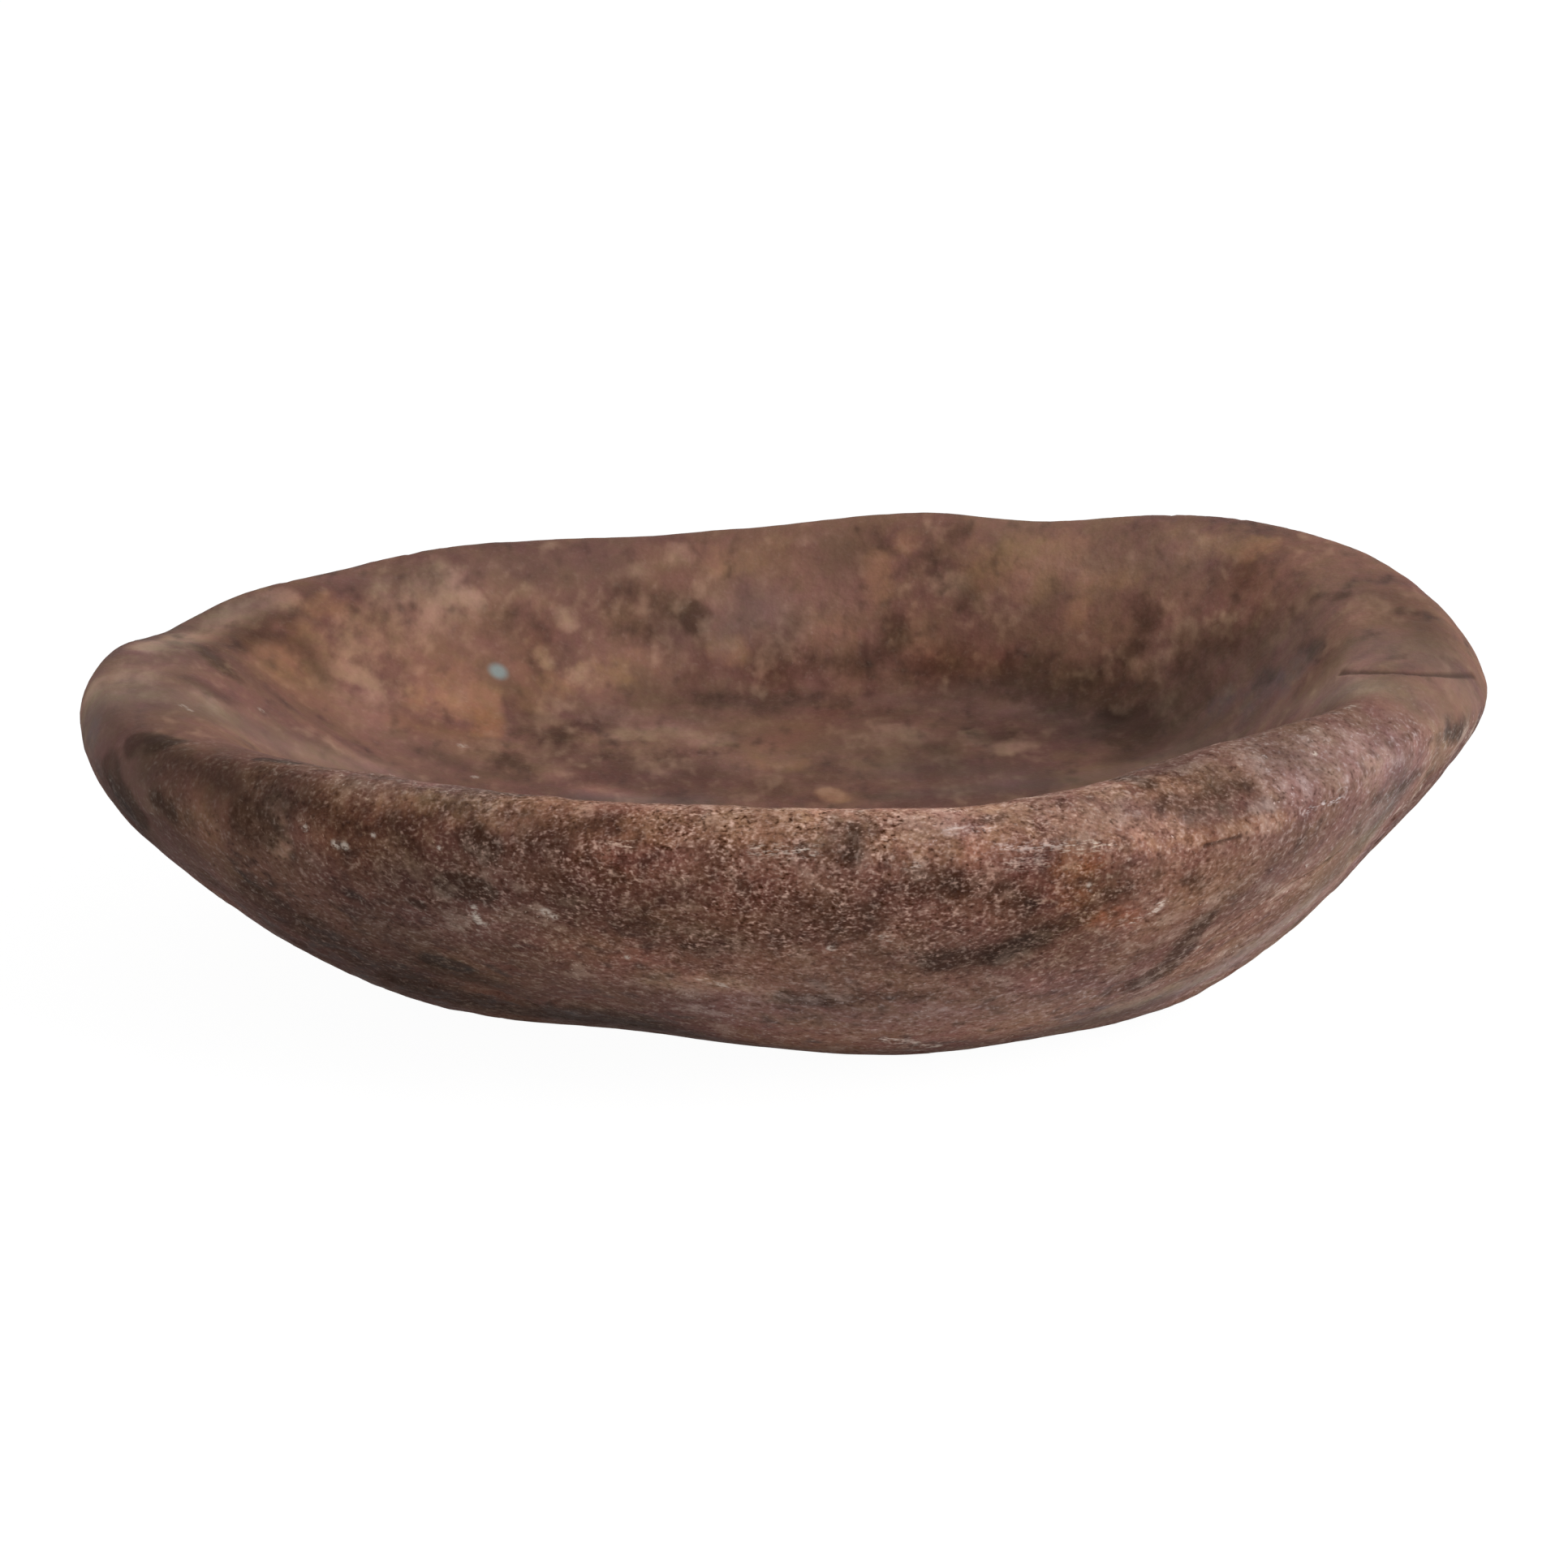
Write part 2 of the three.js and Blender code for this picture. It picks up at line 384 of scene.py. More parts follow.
points = vectors_of(skin.vertices, "co")
normals = vectors_of(skin.vertex_normals, "vector")
across, back, height = points.T
upward = normals[:, 2]
rubbed = smooth_step(upward, LOOKS_UP_FROM, LOOKS_UP_FULLY) * smooth_step(back, ROUGH_UP_TO, SMOOTH_FROM)
rubbed += (1 - rubbed) * WORN_LEFT_END * smooth_step(-across, WORN_FROM, WORN_FULLY_FROM)
keep_on_net("rubbed", rubbed)
gritty = np.exp(-(across / GRITTY_REACH) ** 2) * smooth_step(height, GRITTY_LOWEST, GRITTY_HIGHEST)
keep_on_net("gritty", gritty * (1 - rubbed))
print("share of the skin rubbed smooth:", round(float(rubbed.mean()), 2))

# %% Layers of unevenness
# Two octaves of noise, the second twice as fine and lower. Each seed looks at another region of the noise.
OCTAVES, OCTAVE_STEP, OCTAVE_FALL = 2, 2.0, 0.8
BASIS = "PERLIN_ORIGINAL"
SEED_SHIFT = (17.3, 5.1, 9.7)


def noise_layer(points, size, seed):
    """Random heights between about -1 and 1, with bumps of this size."""
    shift = Vector([seed * step for step in SEED_SHIFT])
    steps = (OCTAVE_FALL, OCTAVE_STEP, OCTAVES)
    places = [Vector(point) * (1 / size) + shift for point in points]
    return np.array([noise.fractal(place, *steps, noise_basis=BASIS) for place in places])


SWELL_SIZE, LUMP_SIZE, ROUGHNESS_SIZE, PIT_SIZE = 26 * MM, 8 * MM, 3 * MM, 4.5 * MM
PIT_STARTS, PIT_FULL = 0.42, 0.75

swells = noise_layer(points, SWELL_SIZE, seed=1)
lumps = noise_layer(points, LUMP_SIZE, seed=2)
roughness = noise_layer(points, ROUGHNESS_SIZE, seed=3)
pits = smooth_step(noise_layer(points, PIT_SIZE, seed=4), PIT_STARTS, PIT_FULL)
print("share of the skin that is pitted:", round(float((pits > 0).mean()), 2))

# %% Carve
SWELL_HEIGHT = 0.3 * MM
LUMP_HEIGHT = 0.22 * MM
ROUGHNESS_HEIGHT = 0.1 * MM
PIT_DEPTH = 0.4 * MM
WORN_OFF = 0.55
FLAT_UP_TO, CARVED_FROM = 0.2 * MM, 3 * MM

small = LUMP_HEIGHT * lumps + ROUGHNESS_HEIGHT * roughness - PIT_DEPTH * pits
rise = SWELL_HEIGHT * swells + small * (1 - WORN_OFF * rubbed)
off_the_foot = smooth_step(height, FLAT_UP_TO, CARVED_FROM)
print("carved between", round(rise.min() / MM, 2), "and", round(rise.max() / MM, 2), "mm")

# %% Cut the thin marks
MARK_DEPTH = 0.35 * MM
MARK_CORE = 0.1 * MM

mark = np.zeros(len(points))
for path, (*pixels, half_width_mm) in zip(thin_paths, THIN_MARKS.values()):
    away = distance_to_path(points, path)
    mark = np.maximum(mark, 1 - smooth_step(away, MARK_CORE, half_width_mm * MM))
rise -= MARK_DEPTH * mark
keep_on_net("crack", mark)
points += normals * (rise * off_the_foot)[:, None]
move_points(skin, points)

# %% Hand the skin over to the frame
skin.shade_smooth()
bowl = bpy.data.objects.new("bowl_stone", skin)
bpy.context.scene.collection.objects.link(bowl)
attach(bowl, "root")
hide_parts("bowl")
print("triangles:", sum(len(face.vertices) - 2 for face in skin.polygons))

# %% [markdown]
# ## The stains, and painted light and shade
#
# The stone isn't one brown. There are ochre clouds where iron has rusted, dark olive and black patches, grey
# bruises and pale crusts. Some strokes are painted shade and painted light instead of stains: the dark along
# the underside and in the creases of the hollow, much of the umber, and the tan along the lower right edge.
# They could all be painted into a picture that is wrapped round the bowl. Here each one is a stroke through
# pixels of the photograph, with a breadth on the stone, because a stroke has a name and is easily moved. The
# strokes are kept as a strength at every point of the net, and the material gives them ragged edges.

# %% A brush for the stains
# A stroke fades from its full strength to nothing round its edge, as shares of its half breadth.
FULL_WITHIN = 0.2
GONE_BEYOND = 1.7


def distance_to_stroke(pixels):
    return distance_to_path(points, [on_stone(pixel) for pixel in pixels])


def paint(tone, *tables):
    """Keeps the strongest of the strokes at each point. A row: pixels, half the breadth in mm, strength."""
    strength = np.zeros(len(points))
    for strokes in tables:
        for *pixels, breadth_mm, weight in strokes.values():
            away = distance_to_stroke(pixels)
            faded = smooth_step(away, FULL_WITHIN * breadth_mm * MM, GONE_BEYOND * breadth_mm * MM)
            strength = np.maximum(strength, weight * (1 - faded))
    keep_on_net(tone, strength)


# %% Dark stains on the left, and painted shade along the underside
DARK_LEFT = {
    "behind the lip": ((264, 806), (300, 784), (338, 764), 4.2, 0.75),
    "corner of the hollow": ((255, 800), (275, 826), 3.5, 0.9),
    "under the lip": ((165, 915), (206, 912), 2.8, 1.3),
    "edge hollow": ((134, 950), (146, 975), (166, 1002), 3.4, 1.5),
    "bruise on the flank": ((192, 988), (210, 1002), 2.4, 0.9),
    "oval under the lip": ((300, 1005), (330, 1022), 3.6, 1.1),
    "dash under the crest": ((322, 935), (362, 941), 1.4, 1.5),
    "band under the crest": ((225, 930), (300, 950), (400, 978), 3, 0.4),
    "patches under the crest": ((440, 985), (452, 990), 2, 0.35),
    "patch on the front": ((552, 1092), (592, 1098), 2.6, 1.6),
    "patch above it": ((580, 1036), (600, 1048), 2.6, 1.15),
    "small dot on the front": ((508, 1112), (518, 1116), 1.3, 1),
    "low patch on the front": ((534, 1184), (566, 1192), 2.6, 1.5),
    # Painted shadow: the underside's dark edge is shade under the bowl, not a stain.
    "underside": ((330, 1110), (420, 1165), (520, 1215), (640, 1245), (780, 1256), 6.5, 1),
    "far wall patch": ((605, 772), (640, 762), (668, 768), 4.2, 0.45),
    "floor, near edge": ((610, 935), (640, 950), 6, 0.55),
    "floor streak": ((655, 908), (735, 895), 5, 0.55),
}
print("dark stains on the left:", len(DARK_LEFT))

# %% Dark stains in the middle, and painted shade at the foot of the far wall
DARK_MIDDLE = {
    "blotch on the front lip": ((1052, 1022), (1050, 1056), 1.7, 1),
    "halo of the blotch": ((1030, 1030), (1050, 1040), 3.4, 0.55),
    "below the front lip": ((912, 1085), (922, 1115), 1.8, 0.65),
    "smudge on the front": ((765, 1128), (795, 1142), 3, 0.7),
    "smudge left of it": ((735, 1066), (760, 1082), 1.6, 0.6),
    "small smudge on the front": ((855, 1168), (865, 1176), 2.2, 0.6),
    "dark field on the front": ((1110, 1084), (1190, 1094), (1262, 1100), 3.2, 0.6),
    "long cloud, lower part": ((1150, 1186), (1225, 1178), (1285, 1156), 3, 1),
    "under the long cloud": ((1090, 1228), (1145, 1228), 2.6, 0.55),
    "low grey smudge": ((975, 1228), (1010, 1232), 3.2, 1),
    "long low smudge": ((1010, 1235), (1080, 1225), 2.6, 0.45),
    "far wall spot": ((852, 756), (857, 762), 3, 1.3),
    "far wall patch in the middle": ((755, 740), (790, 740), (828, 748), 3.6, 0.6),
    "far wall patch below it": ((765, 775), (795, 778), 3.4, 0.45),
    # Painted shade: darker where the far wall meets the floor of the hollow.
    "foot of the far wall": ((955, 825), (1080, 818), (1180, 822), 5.5, 0.45),
    "deep spot of the far wall": ((1140, 822), (1176, 816), 3.2, 0.6),
    "stroke on the far wall": ((1134, 692), (1160, 668), (1180, 652), 3, 0.6),
    "far smudge": ((1098, 795), (1104, 775), 3.6, 0.8),
    "floor streak in the middle": ((760, 932), (860, 928), 4.5, 0.5),
    "floor streak at the back": ((890, 862), (1010, 862), 6, 0.4),
}
print("dark stains in the middle:", len(DARK_MIDDLE))

# %% Dark stains on the right, and painted shade in the hollow's right corner
DARK_RIGHT = {
    "long cloud, upper part": ((1290, 1148), (1330, 1132), (1352, 1106), (1390, 1098), 2.2, 0.75),
    "right low cloud": ((1405, 1212), (1438, 1192), (1458, 1170), 3.6, 1),
    "right low cloud, top": ((1464, 1158), (1486, 1134), 2.8, 1),
    "mark on the lip": ((1380, 958), (1412, 966), 1.9, 0.9),
    "band along the lip": ((1440, 988), (1480, 990), (1540, 968), 2.6, 0.6),
    "brown oval under the lip": ((1470, 1080), (1482, 1088), 2.2, 0.65),
    "corner on the flank": ((1696, 985), (1720, 975), (1750, 952), 2, 0.6),
    "second deep spot": ((1228, 838), (1246, 838), 3.6, 0.9),
    "small far smudge": ((1190, 736), (1200, 740), 3, 0.7),
    # Painted shade: the floor's end and the darkest spot darken the corner of the hollow under the right rim.
    "floor's end": ((1270, 842), (1350, 855), (1400, 880), 8, 0.75),
    "darkest spot": ((1360, 872), (1392, 885), 6, 1),
    "hook on the wall": ((1402, 742), (1416, 765), (1405, 790), (1385, 812), 3, 0.65),
    "hollow under the lip": ((1545, 778), (1600, 766), 4.5, 0.5),
    "wall, brown band": ((1430, 835), (1480, 798), (1530, 780), 5, 0.45),
    # Painted shade: the low wall, in the same shaded corner.
    "wall, low": ((1405, 900), (1450, 880), 8, 1),
    "wall, upper end": ((1610, 790), (1636, 812), 3.2, 0.4),
    "wall, small": ((1552, 838), (1566, 832), 3, 0.45),
    "dash on the lip": ((1626, 734), (1652, 734), 2, 0.65),
    "edge of the lip": ((1725, 752), (1768, 760), 2.8, 0.65),
    "oval at the end": ((1786, 892), (1801, 892), (1797, 904), (1785, 904), 1.9, 0.7),
    "streak beside the oval": ((1712, 917), (1730, 910), (1746, 901), 1.1, 0.6),
    "brown band on the lip": ((1722, 811), (1784, 813), 2.4, 0.3),
    "floor streak": ((1215, 908), (1262, 905), 4, 0.6),
}
print("dark stains on the right:", len(DARK_RIGHT))
paint("dark", DARK_LEFT, DARK_MIDDLE, DARK_RIGHT)

# %% Umber, partly painted shade, and rust and slate stains
# Umber is partly the stone's darker tone and partly painted shade: under the front lip, on the left front
# away from the lamp, on the floor of the hollow and on its right wall.
UMBER = {
    "under the front lip": ((640, 1090), (800, 1100), (1000, 1110), (1250, 1110), 7.5, 0.6),
    "left front": ((420, 1060), (520, 1120), (640, 1150), 11, 0.5),
    "near floor": ((700, 930), (900, 955), (1150, 965), 16, 0.55),
    "far floor": ((900, 850), (1150, 850), (1330, 870), 14, 0.6),
    "right hollow": ((1450, 860), (1560, 800), 16, 0.6),
    "far rim": ((1480, 710), (1560, 712), 3.5, 0.5),
}
RUST = {
    "under the front ridge": ((1310, 1062), (1352, 1066), 3.2, 0.55),
    "spot below it": ((1312, 1100), (1340, 1106), 2.6, 0.5),
    "lower rust": ((1350, 1130), (1390, 1132), 2.8, 0.65),
    "floor's left end": ((598, 880), (600, 905), 3.2, 0.7),
}
SLATE = {
    "bruise on the right lip": ((1500, 1000), (1530, 994), (1562, 990), 1.8, 0.5),
    "beside the bruise": ((1462, 1008), (1486, 1004), 1.6, 0.4),
    "right end": ((1784, 898), (1804, 898), 2.6, 0.45),
    "right hollow": ((1500, 880), (1560, 850), (1600, 830), 7, 0.5),
    "low right edge": ((1300, 1256), (1360, 1240), 2.6, 0.5),
    "low front": ((1000, 1215), (1050, 1212), 3, 0.4),
    "left edge": ((112, 900), (118, 940), 3, 0.4),
}
paint("umber", UMBER)
paint("rust", RUST)
paint("slate", SLATE)

# %% Ochre, where iron came out of the stone
OCHRE = {
    "left hollow": ((330, 820), (380, 800), 7, 0.5),
    "left hollow, dark red part": ((385, 745), (425, 742), 4, 0.5),
    "streak to the floor": ((600, 850), (600, 905), 3.6, 0.8),
    "cloud above the streak": ((470, 780), (560, 830), 9, 0.4),
    "warm patch on the left wall": ((530, 865), (580, 880), 6, 0.55),
    "patch beside the speck": ((690, 850), (720, 838), 4, 0.6),
    "far wall, first": ((745, 832), (790, 822), 4, 0.45),
    "far wall, second": ((895, 800), (905, 802), 3.4, 0.6),
    "far wall, high": ((890, 690), (950, 680), 4.5, 0.5),
    "far wall, broad": ((1225, 700), (1300, 690), 6.5, 0.9),
    "far wall, broad, upper": ((1240, 682), (1330, 672), 3, 0.7),
    "far wall, upright": ((1085, 690), (1080, 725), 3, 0.6),
    "far wall, small": ((1112, 672), (1130, 662), 2.6, 0.7),
    "far wall, low": ((1005, 770), (1040, 785), 4, 0.45),
    "far rim on the right": ((1440, 672), (1550, 672), 4.5, 0.55),
    "right wall": ((1320, 760), (1332, 748), 3.5, 0.6),
    "right wall, upper": ((1340, 712), (1392, 715), 3.2, 0.7),
    "floor patch": ((930, 940), (968, 942), 5, 0.7),
    "floor fleck": ((1022, 976), (1036, 986), 2.3, 1.2),
    "left flank": ((240, 965), (262, 980), 3, 0.3),
    "left flank, lower": ((250, 1005), (262, 1035), 3, 0.6),
    "front lip": ((780, 1018), (860, 1022), (930, 1030), (1000, 1022), 3.4, 0.65),
    "front lip, left": ((500, 990), (640, 1008), (740, 1016), 3, 0.5),
    "front lip, right": ((1080, 1040), (1200, 1040), (1330, 1015), (1420, 1030), 3.4, 0.65),
    "along the right ridge": ((1430, 1040), (1500, 1030), (1560, 1012), (1590, 1010), 2, 0.55),
    "right lip": ((1400, 968), (1480, 966), 3, 0.6),
    "below the right ridge": ((1440, 1070), (1460, 1110), 3.6, 0.3),
}
paint("ochre", OCHRE)

# %% Tan, where the stone is worn bright, and painted light along the lower right edge
TAN = {
    "worn front lip": ((480, 985), (640, 1000), (860, 1015), (1060, 1018), (1300, 1010), 4.2, 0.45),
    "worn front lip, right": ((1300, 1010), (1420, 1000), (1560, 950), (1700, 930), 5.5, 0.55),
    "left end, top": ((130, 840), (180, 835), (240, 860), 7, 0.4),
    "left end, back": ((190, 798), (270, 768), (340, 735), 5, 0.7),
    "left wall": ((420, 830), (470, 800), (540, 730), 9, 0.6),
    "left wall, rosy": ((422, 828), (445, 834), 3.6, 1.1),
    "light spot, first": ((576, 735), (584, 738), 2.8, 1),
    "light spot, second": ((655, 728), (660, 732), 2.4, 0.6),
    "light spot, third": ((786, 700), (796, 702), 2.6, 0.55),
    "light spot, fourth": ((694, 758), (698, 764), 2.5, 0.5),
    "light spot, fifth": ((560, 785), (568, 788), 2.6, 0.55),
    "light spot, sixth": ((668, 808), (674, 814), 2.3, 0.4),
    "light spot, seventh": ((712, 834), (720, 838), 3, 0.6),
    "light spot, eighth": ((1160, 716), (1180, 722), 3, 0.7),
    "far rim": ((800, 682), (850, 685), 3.6, 0.35),
    "floor, first": ((765, 905), (800, 905), 5, 0.6),
    "floor, second": ((835, 905), (870, 912), 5, 0.6),
    "floor, third": ((1105, 905), (1130, 908), 5, 0.7),
    "floor, fourth": ((1235, 922), (1258, 918), 4, 0.7),
    "floor, fifth": ((1200, 905), (1206, 915), 3, 0.7),
    "left flank": ((338, 1000), (346, 1040), 2.6, 1.5),
    "low front": ((820, 1210), (900, 1215), (950, 1225), 4, 0.7),
    # Painted light: the lower right edge is lighter because it faces the light from the right and the floor.
    "low right edge": ((1380, 1240), (1500, 1195), (1600, 1120), 4.5, 0.8),
}
paint("tan", TAN)

# %% Pale crusts and scratches
PALE = {
    "crust along the front ridge": ((1226, 1045), (1290, 1043), (1372, 1041), 1, 0.75),
    "crust under the front ridge": ((1240, 1067), (1285, 1065), 1.2, 0.7),
    "crust above the ridge": ((1172, 1024), (1215, 1021), 0.9, 0.7),
    "crust on the front": ((925, 1049), (965, 1047), (1010, 1050), 1, 0.9),
    "crust on the front, left": ((730, 1040), (785, 1041), 0.8, 0.6),
    "crust below the lip": ((1110, 1069), (1135, 1066), 0.6, 0.7),
    "scratch": ((1396, 1136), (1418, 1128), (1434, 1110), 0.6, 1),
    "scratch on the left": ((581, 1114), (586, 1127), (592, 1138), 0.6, 1.1),
    "under the middle": ((1086, 1154), (1106, 1160), 0.9, 0.7),
    "low, on the left": ((866, 1208), (892, 1216), 1.1, 0.9),
    "ridge on the right": ((1610, 1000), (1640, 988), (1660, 976), 0.8, 0.7),
    "crust by the foot": ((1094, 1281), (1122, 1285), (1150, 1290), 1.4, 0.9),
}
paint("pale", PALE)

# %% [markdown]
# ## Broad painted light and shade
#
# Under the stains the stone also grows darker and lighter over whole stretches. Most of this is painted light
# and painted shade, which the soft lamps don't give: painted shade on the left flank and underside, at the
# foot of the hollow's walls and on its floor, and painted light on the right flank, on the inner right wall,
# along the lower right edge and along the foot. Some of it is the stone's own tone: handling and smoke darken
# it, and dust settles into its dry parts. Each shade is a very soft stroke, and its weight says how much
# lighter or, where it is negative, how much darker the stone becomes. Shades that overlap add up. The greyed
# stretches are those that lost their redness, the yellowed ones lost their blue, and a negative weight turns
# each of these the other way. Greying on the lips and ends is partly dust and partly painted sheen, and the
# grey and blue along the lower right edge and the foot is a painted reflection of the pale floor.


# %% A brush for the shades
def shade(name, *tables):
    """Keeps the sum of the shades at each point. A row: pixels, half the breadth in mm, weight."""
    total = np.zeros(len(points))
    for shades in tables:
        for *pixels, breadth_mm, weight in shades.values():
            total += weight * np.exp(-(distance_to_stroke(pixels) / (breadth_mm * MM)) ** 2)
    keep_on_net(name, total)


# %% Shades outside, on the left
# Painted shade: the flank, the underside and the edge darken the side away from the lamp.
OUTSIDE_LEFT = {
    "flank": ((170, 1000), (260, 1060), (380, 1120), (500, 1170), 12, -0.3),
    "underside": ((350, 1150), (445, 1198), (505, 1222), 7, -0.5),
    "front": ((300, 985), (420, 1040), (600, 1100), 10, -0.2),
    "front lip": ((500, 985), (600, 1000), (740, 1008), 4, -0.24),
    "front crest": ((380, 935), (460, 960), 4, 0.2),
    "dark patch on the front": ((480, 1085), (515, 1062), 4.5, -0.3),
    "dark spots under the lip": ((338, 984), (356, 992), 3.2, -0.5),
    "dark spot beside them": ((486, 1012), (494, 1026), 2.5, -0.4),
    "dark spot on the lip": ((550, 992), (572, 993), 2.2, -0.35),
    "low dark patch": ((545, 1200), (610, 1212), 4, -0.25),
    "under the crest": ((190, 908), (240, 948), (295, 978), 2.4, -0.35),
    "dark grains": ((410, 1008), (422, 1014), 3, -0.35),
    "oval, lower half": ((296, 1028), (306, 1034), 3.2, -0.35),
    "edge": ((128, 964), (146, 992), (170, 1020), 5.5, -0.5),
    "edge, low": ((205, 1040), (280, 1085), (345, 1118), 4, 0.2),
    "end, light patch": ((142, 932), (176, 984), 3, 0.35),
    "light grains": ((340, 1020), (400, 1036), 2.4, 0.3),
    "rim, edge": ((112, 850), (112, 900), (128, 940), 4, 0.45),
    "low dark patch, right": ((590, 1206), (640, 1226), 4, -0.3),
    "low front, left": ((470, 1140), (560, 1225), (620, 1238), 5, -0.12),
    "underside, outer": ((270, 1096), (308, 1116), 4, -0.2),
    "near slope, left": ((420, 955), (480, 962), 3, 0.2),
    "end, outer": ((140, 860), (150, 920), 6, 0.25),
}
print("shades outside, on the left:", len(OUTSIDE_LEFT))

# %% Shades on the front
# Painted light from the floor: the foot edge shades. Painted shadow: the foot's left end.
OUTSIDE_FRONT = {
    "foot edge": ((860, 1245), (1050, 1265), (1250, 1250), (1400, 1215), (1500, 1170), 8, 0.3),
    "front wall, high": ((780, 1090), (1060, 1095), 5, 0.1),
    "front wall, low": ((880, 1155), (1050, 1165), 6, -0.15),
    "light band under the front lip": ((735, 1060), (835, 1066), 3.2, 0.6),
    "light patch on the left front": ((620, 1140), (700, 1168), 5, 0.45),
    "light spot on the left front": ((660, 1090), (668, 1094), 3, 0.25),
    "dark band on the left lip": ((655, 1045), (690, 1040), 2.6, -0.35),
    "low light patch, middle": ((785, 1178), (800, 1190), 3.5, 0.35),
    "foot, narrow": ((900, 1264), (1000, 1278), (1100, 1284), (1200, 1276), (1300, 1256), 7, 0.42),
    "front, left blotch": ((900, 1160), (925, 1160), 4, -0.28),
    "front, over the cloud": ((1212, 1096), (1246, 1090), 3.5, -0.28),
    "front, broad": ((985, 1140), (1065, 1130), 5, -0.2),
    "front, first middle": ((840, 1155), (870, 1165), 4, -0.25),
    "low front, smudge": ((1000, 1206), (1042, 1240), 4, -0.2),
    "lip, right of the blotch": ((1115, 1020), (1165, 1024), 3, -0.25),
    "blotch, right edge": ((1058, 1030), (1062, 1050), 2.2, -0.3),
    "under the lip": ((1140, 1080), (1150, 1082), 2.5, -0.25),
    "front, light grains": ((1026, 1172), (1042, 1170), 2, 0.35),
    "front, light grains, right": ((1092, 1152), (1104, 1164), 2, 0.35),
    "front, light grains, left": ((872, 1208), (900, 1218), 3, 0.28),
    "front, light band": ((1172, 1142), (1222, 1138), 2.6, 0.3),
    "front, light band, left": ((936, 1086), (982, 1084), 3, 0.25),
    "front, under the lip": ((1100, 1064), (1122, 1066), 3.2, 0.28),
    "front lip, dark patches": ((645, 1020), (710, 1016), (800, 1017), 2.6, -0.25),
    "front, dark spot": ((842, 1090), (848, 1102), 3.5, -0.4),
    "left front, dark spots": ((695, 1112), (708, 1120), 3.5, -0.3),
    "foot's left end": ((700, 1256), (780, 1264), (840, 1272), 6, -0.5),
    "front right lip, top": ((1080, 1008), (1200, 1003), (1240, 1000), 5, 0.25),
    "front lip, light patch": ((1200, 1050), (1202, 1064), 3, 0.2),
    "foot edge, left": ((600, 1250), (660, 1255), 4, 0.4),
    "front, light stretch": ((690, 1085), (740, 1100), (785, 1140), 5, -0.3),
    "foot edge, middle": ((900, 1276), (960, 1282), 5, 0.3),
    "front, upper middle": ((760, 1020), (860, 1030), (940, 1045), 5, -0.2),
    "front, under the middle": ((1040, 1140), (1150, 1180), (1230, 1140), 7, -0.18),
}
print("shades on the front:", len(OUTSIDE_FRONT))

# %% Shades outside, on the right
# Painted light: the flank, the end and the low rim of light brighten the side that faces the lamp.
OUTSIDE_RIGHT = {
    "front lip": ((1440, 960), (1520, 960), (1580, 930), 6, -0.25),
    "end": ((1690, 810), (1790, 850), 10, 0.22),
    "flank": ((1560, 1110), (1650, 1040), (1740, 950), (1765, 925), 7, 0.5),
    "front": ((1250, 1130), (1440, 1120), 10, 0.17),
    "low light patch, right": ((1280, 1212), (1345, 1196), 4, 0.5),
    "light spot on the lip": ((1585, 976), (1595, 972), 3, 0.2),
    "low rim of light": ((1440, 1236), (1520, 1190), (1600, 1128), (1680, 1046), (1735, 980), 3.5, 0.6),
    "front, cloud's root": ((1230, 1178), (1290, 1144), 3.4, -0.6),
    "right front, light stretch": ((1380, 1080), (1440, 1108), (1490, 1040), (1500, 975), 5, -0.22),
    "end, streaks": ((1700, 735), (1750, 768), (1776, 808), 4.5, -0.22),
    "end, front": ((1778, 856), (1786, 870), 3, -0.2),
    "end, edge": ((1815, 852), (1820, 872), 2.5, 0.28),
    "beside the streak": ((1730, 920), (1740, 918), 3, 0.4),
    "front ridge": ((1270, 1048), (1330, 1032), (1400, 1005), 3.5, -0.28),
    "right low cloud": ((1405, 1208), (1418, 1208), 3, -0.45),
    "front ridge, light patch": ((1378, 1042), (1440, 1040), 4, 0.45),
    "lip, front": ((1686, 938), (1702, 944), 3.5, 0.3),
    "front, right of the clouds": ((1460, 1140), (1500, 1110), 5, -0.2),
    "front, lower rust": ((1384, 1134), (1398, 1142), 3.5, 0.3),
    "lip, inner slope, crest": ((1610, 868), (1680, 850), 4, 0.9),
}
print("shades outside, on the right:", len(OUTSIDE_RIGHT))

# %% Shades of the rim and the hollow, on the left
INSIDE_LEFT = {
    "end": ((110, 850), (190, 815), (280, 860), 9, 0.44),
    "hollow": ((480, 880), (560, 900), 10, 0.18),
    "crest, inner edge": ((420, 922), (480, 950), (530, 964), 3, 0.75),
    "wall, high": ((505, 742), (518, 748), 3, 0.3),
    "wall, higher": ((576, 710), (588, 714), 3, 0.25),
    "rim": ((405, 712), (450, 702), 4, 0.35),
    "wall, middle": ((440, 820), (475, 822), 3, 0.12),
    "wall, beside the speck": ((632, 822), (640, 826), 2.6, 0.25),
    "back wall, under the left patch": ((676, 768), (684, 772), 2.5, 0.28),
    # Painted shade: darker at the foot of the wall and on the near floor.
    "foot of the wall": ((655, 882), (676, 884), 3, -0.3),
    "left of the floor, near": ((530, 928), (620, 956), 4, -0.28),
    "wall, dark patch": ((374, 792), (396, 832), 3.4, -0.6),
    "slope, brown": ((245, 842), (275, 858), 4, -0.65),
    "rim, back edge": ((165, 800), (228, 782), 3, 0.4),
    "crest, inner slope": ((290, 905), (380, 925), (450, 945), 3.5, 0.3),
    "hollow, corner": ((325, 786), (338, 786), 3, -0.4),
    "hollow, light patch": ((345, 770), (362, 770), 3, 0.4),
    "wall, over the streak": ((535, 858), (555, 862), 4, 0.35),
    "floor, near the lip": ((650, 955), (725, 952), 4, 0.2),
    "floor, left": ((680, 920), (700, 920), 3.5, -0.3),
    "wall, top": ((576, 735), (590, 760), 4, 0.25),
}
print("shades inside, on the left:", len(INSIDE_LEFT))

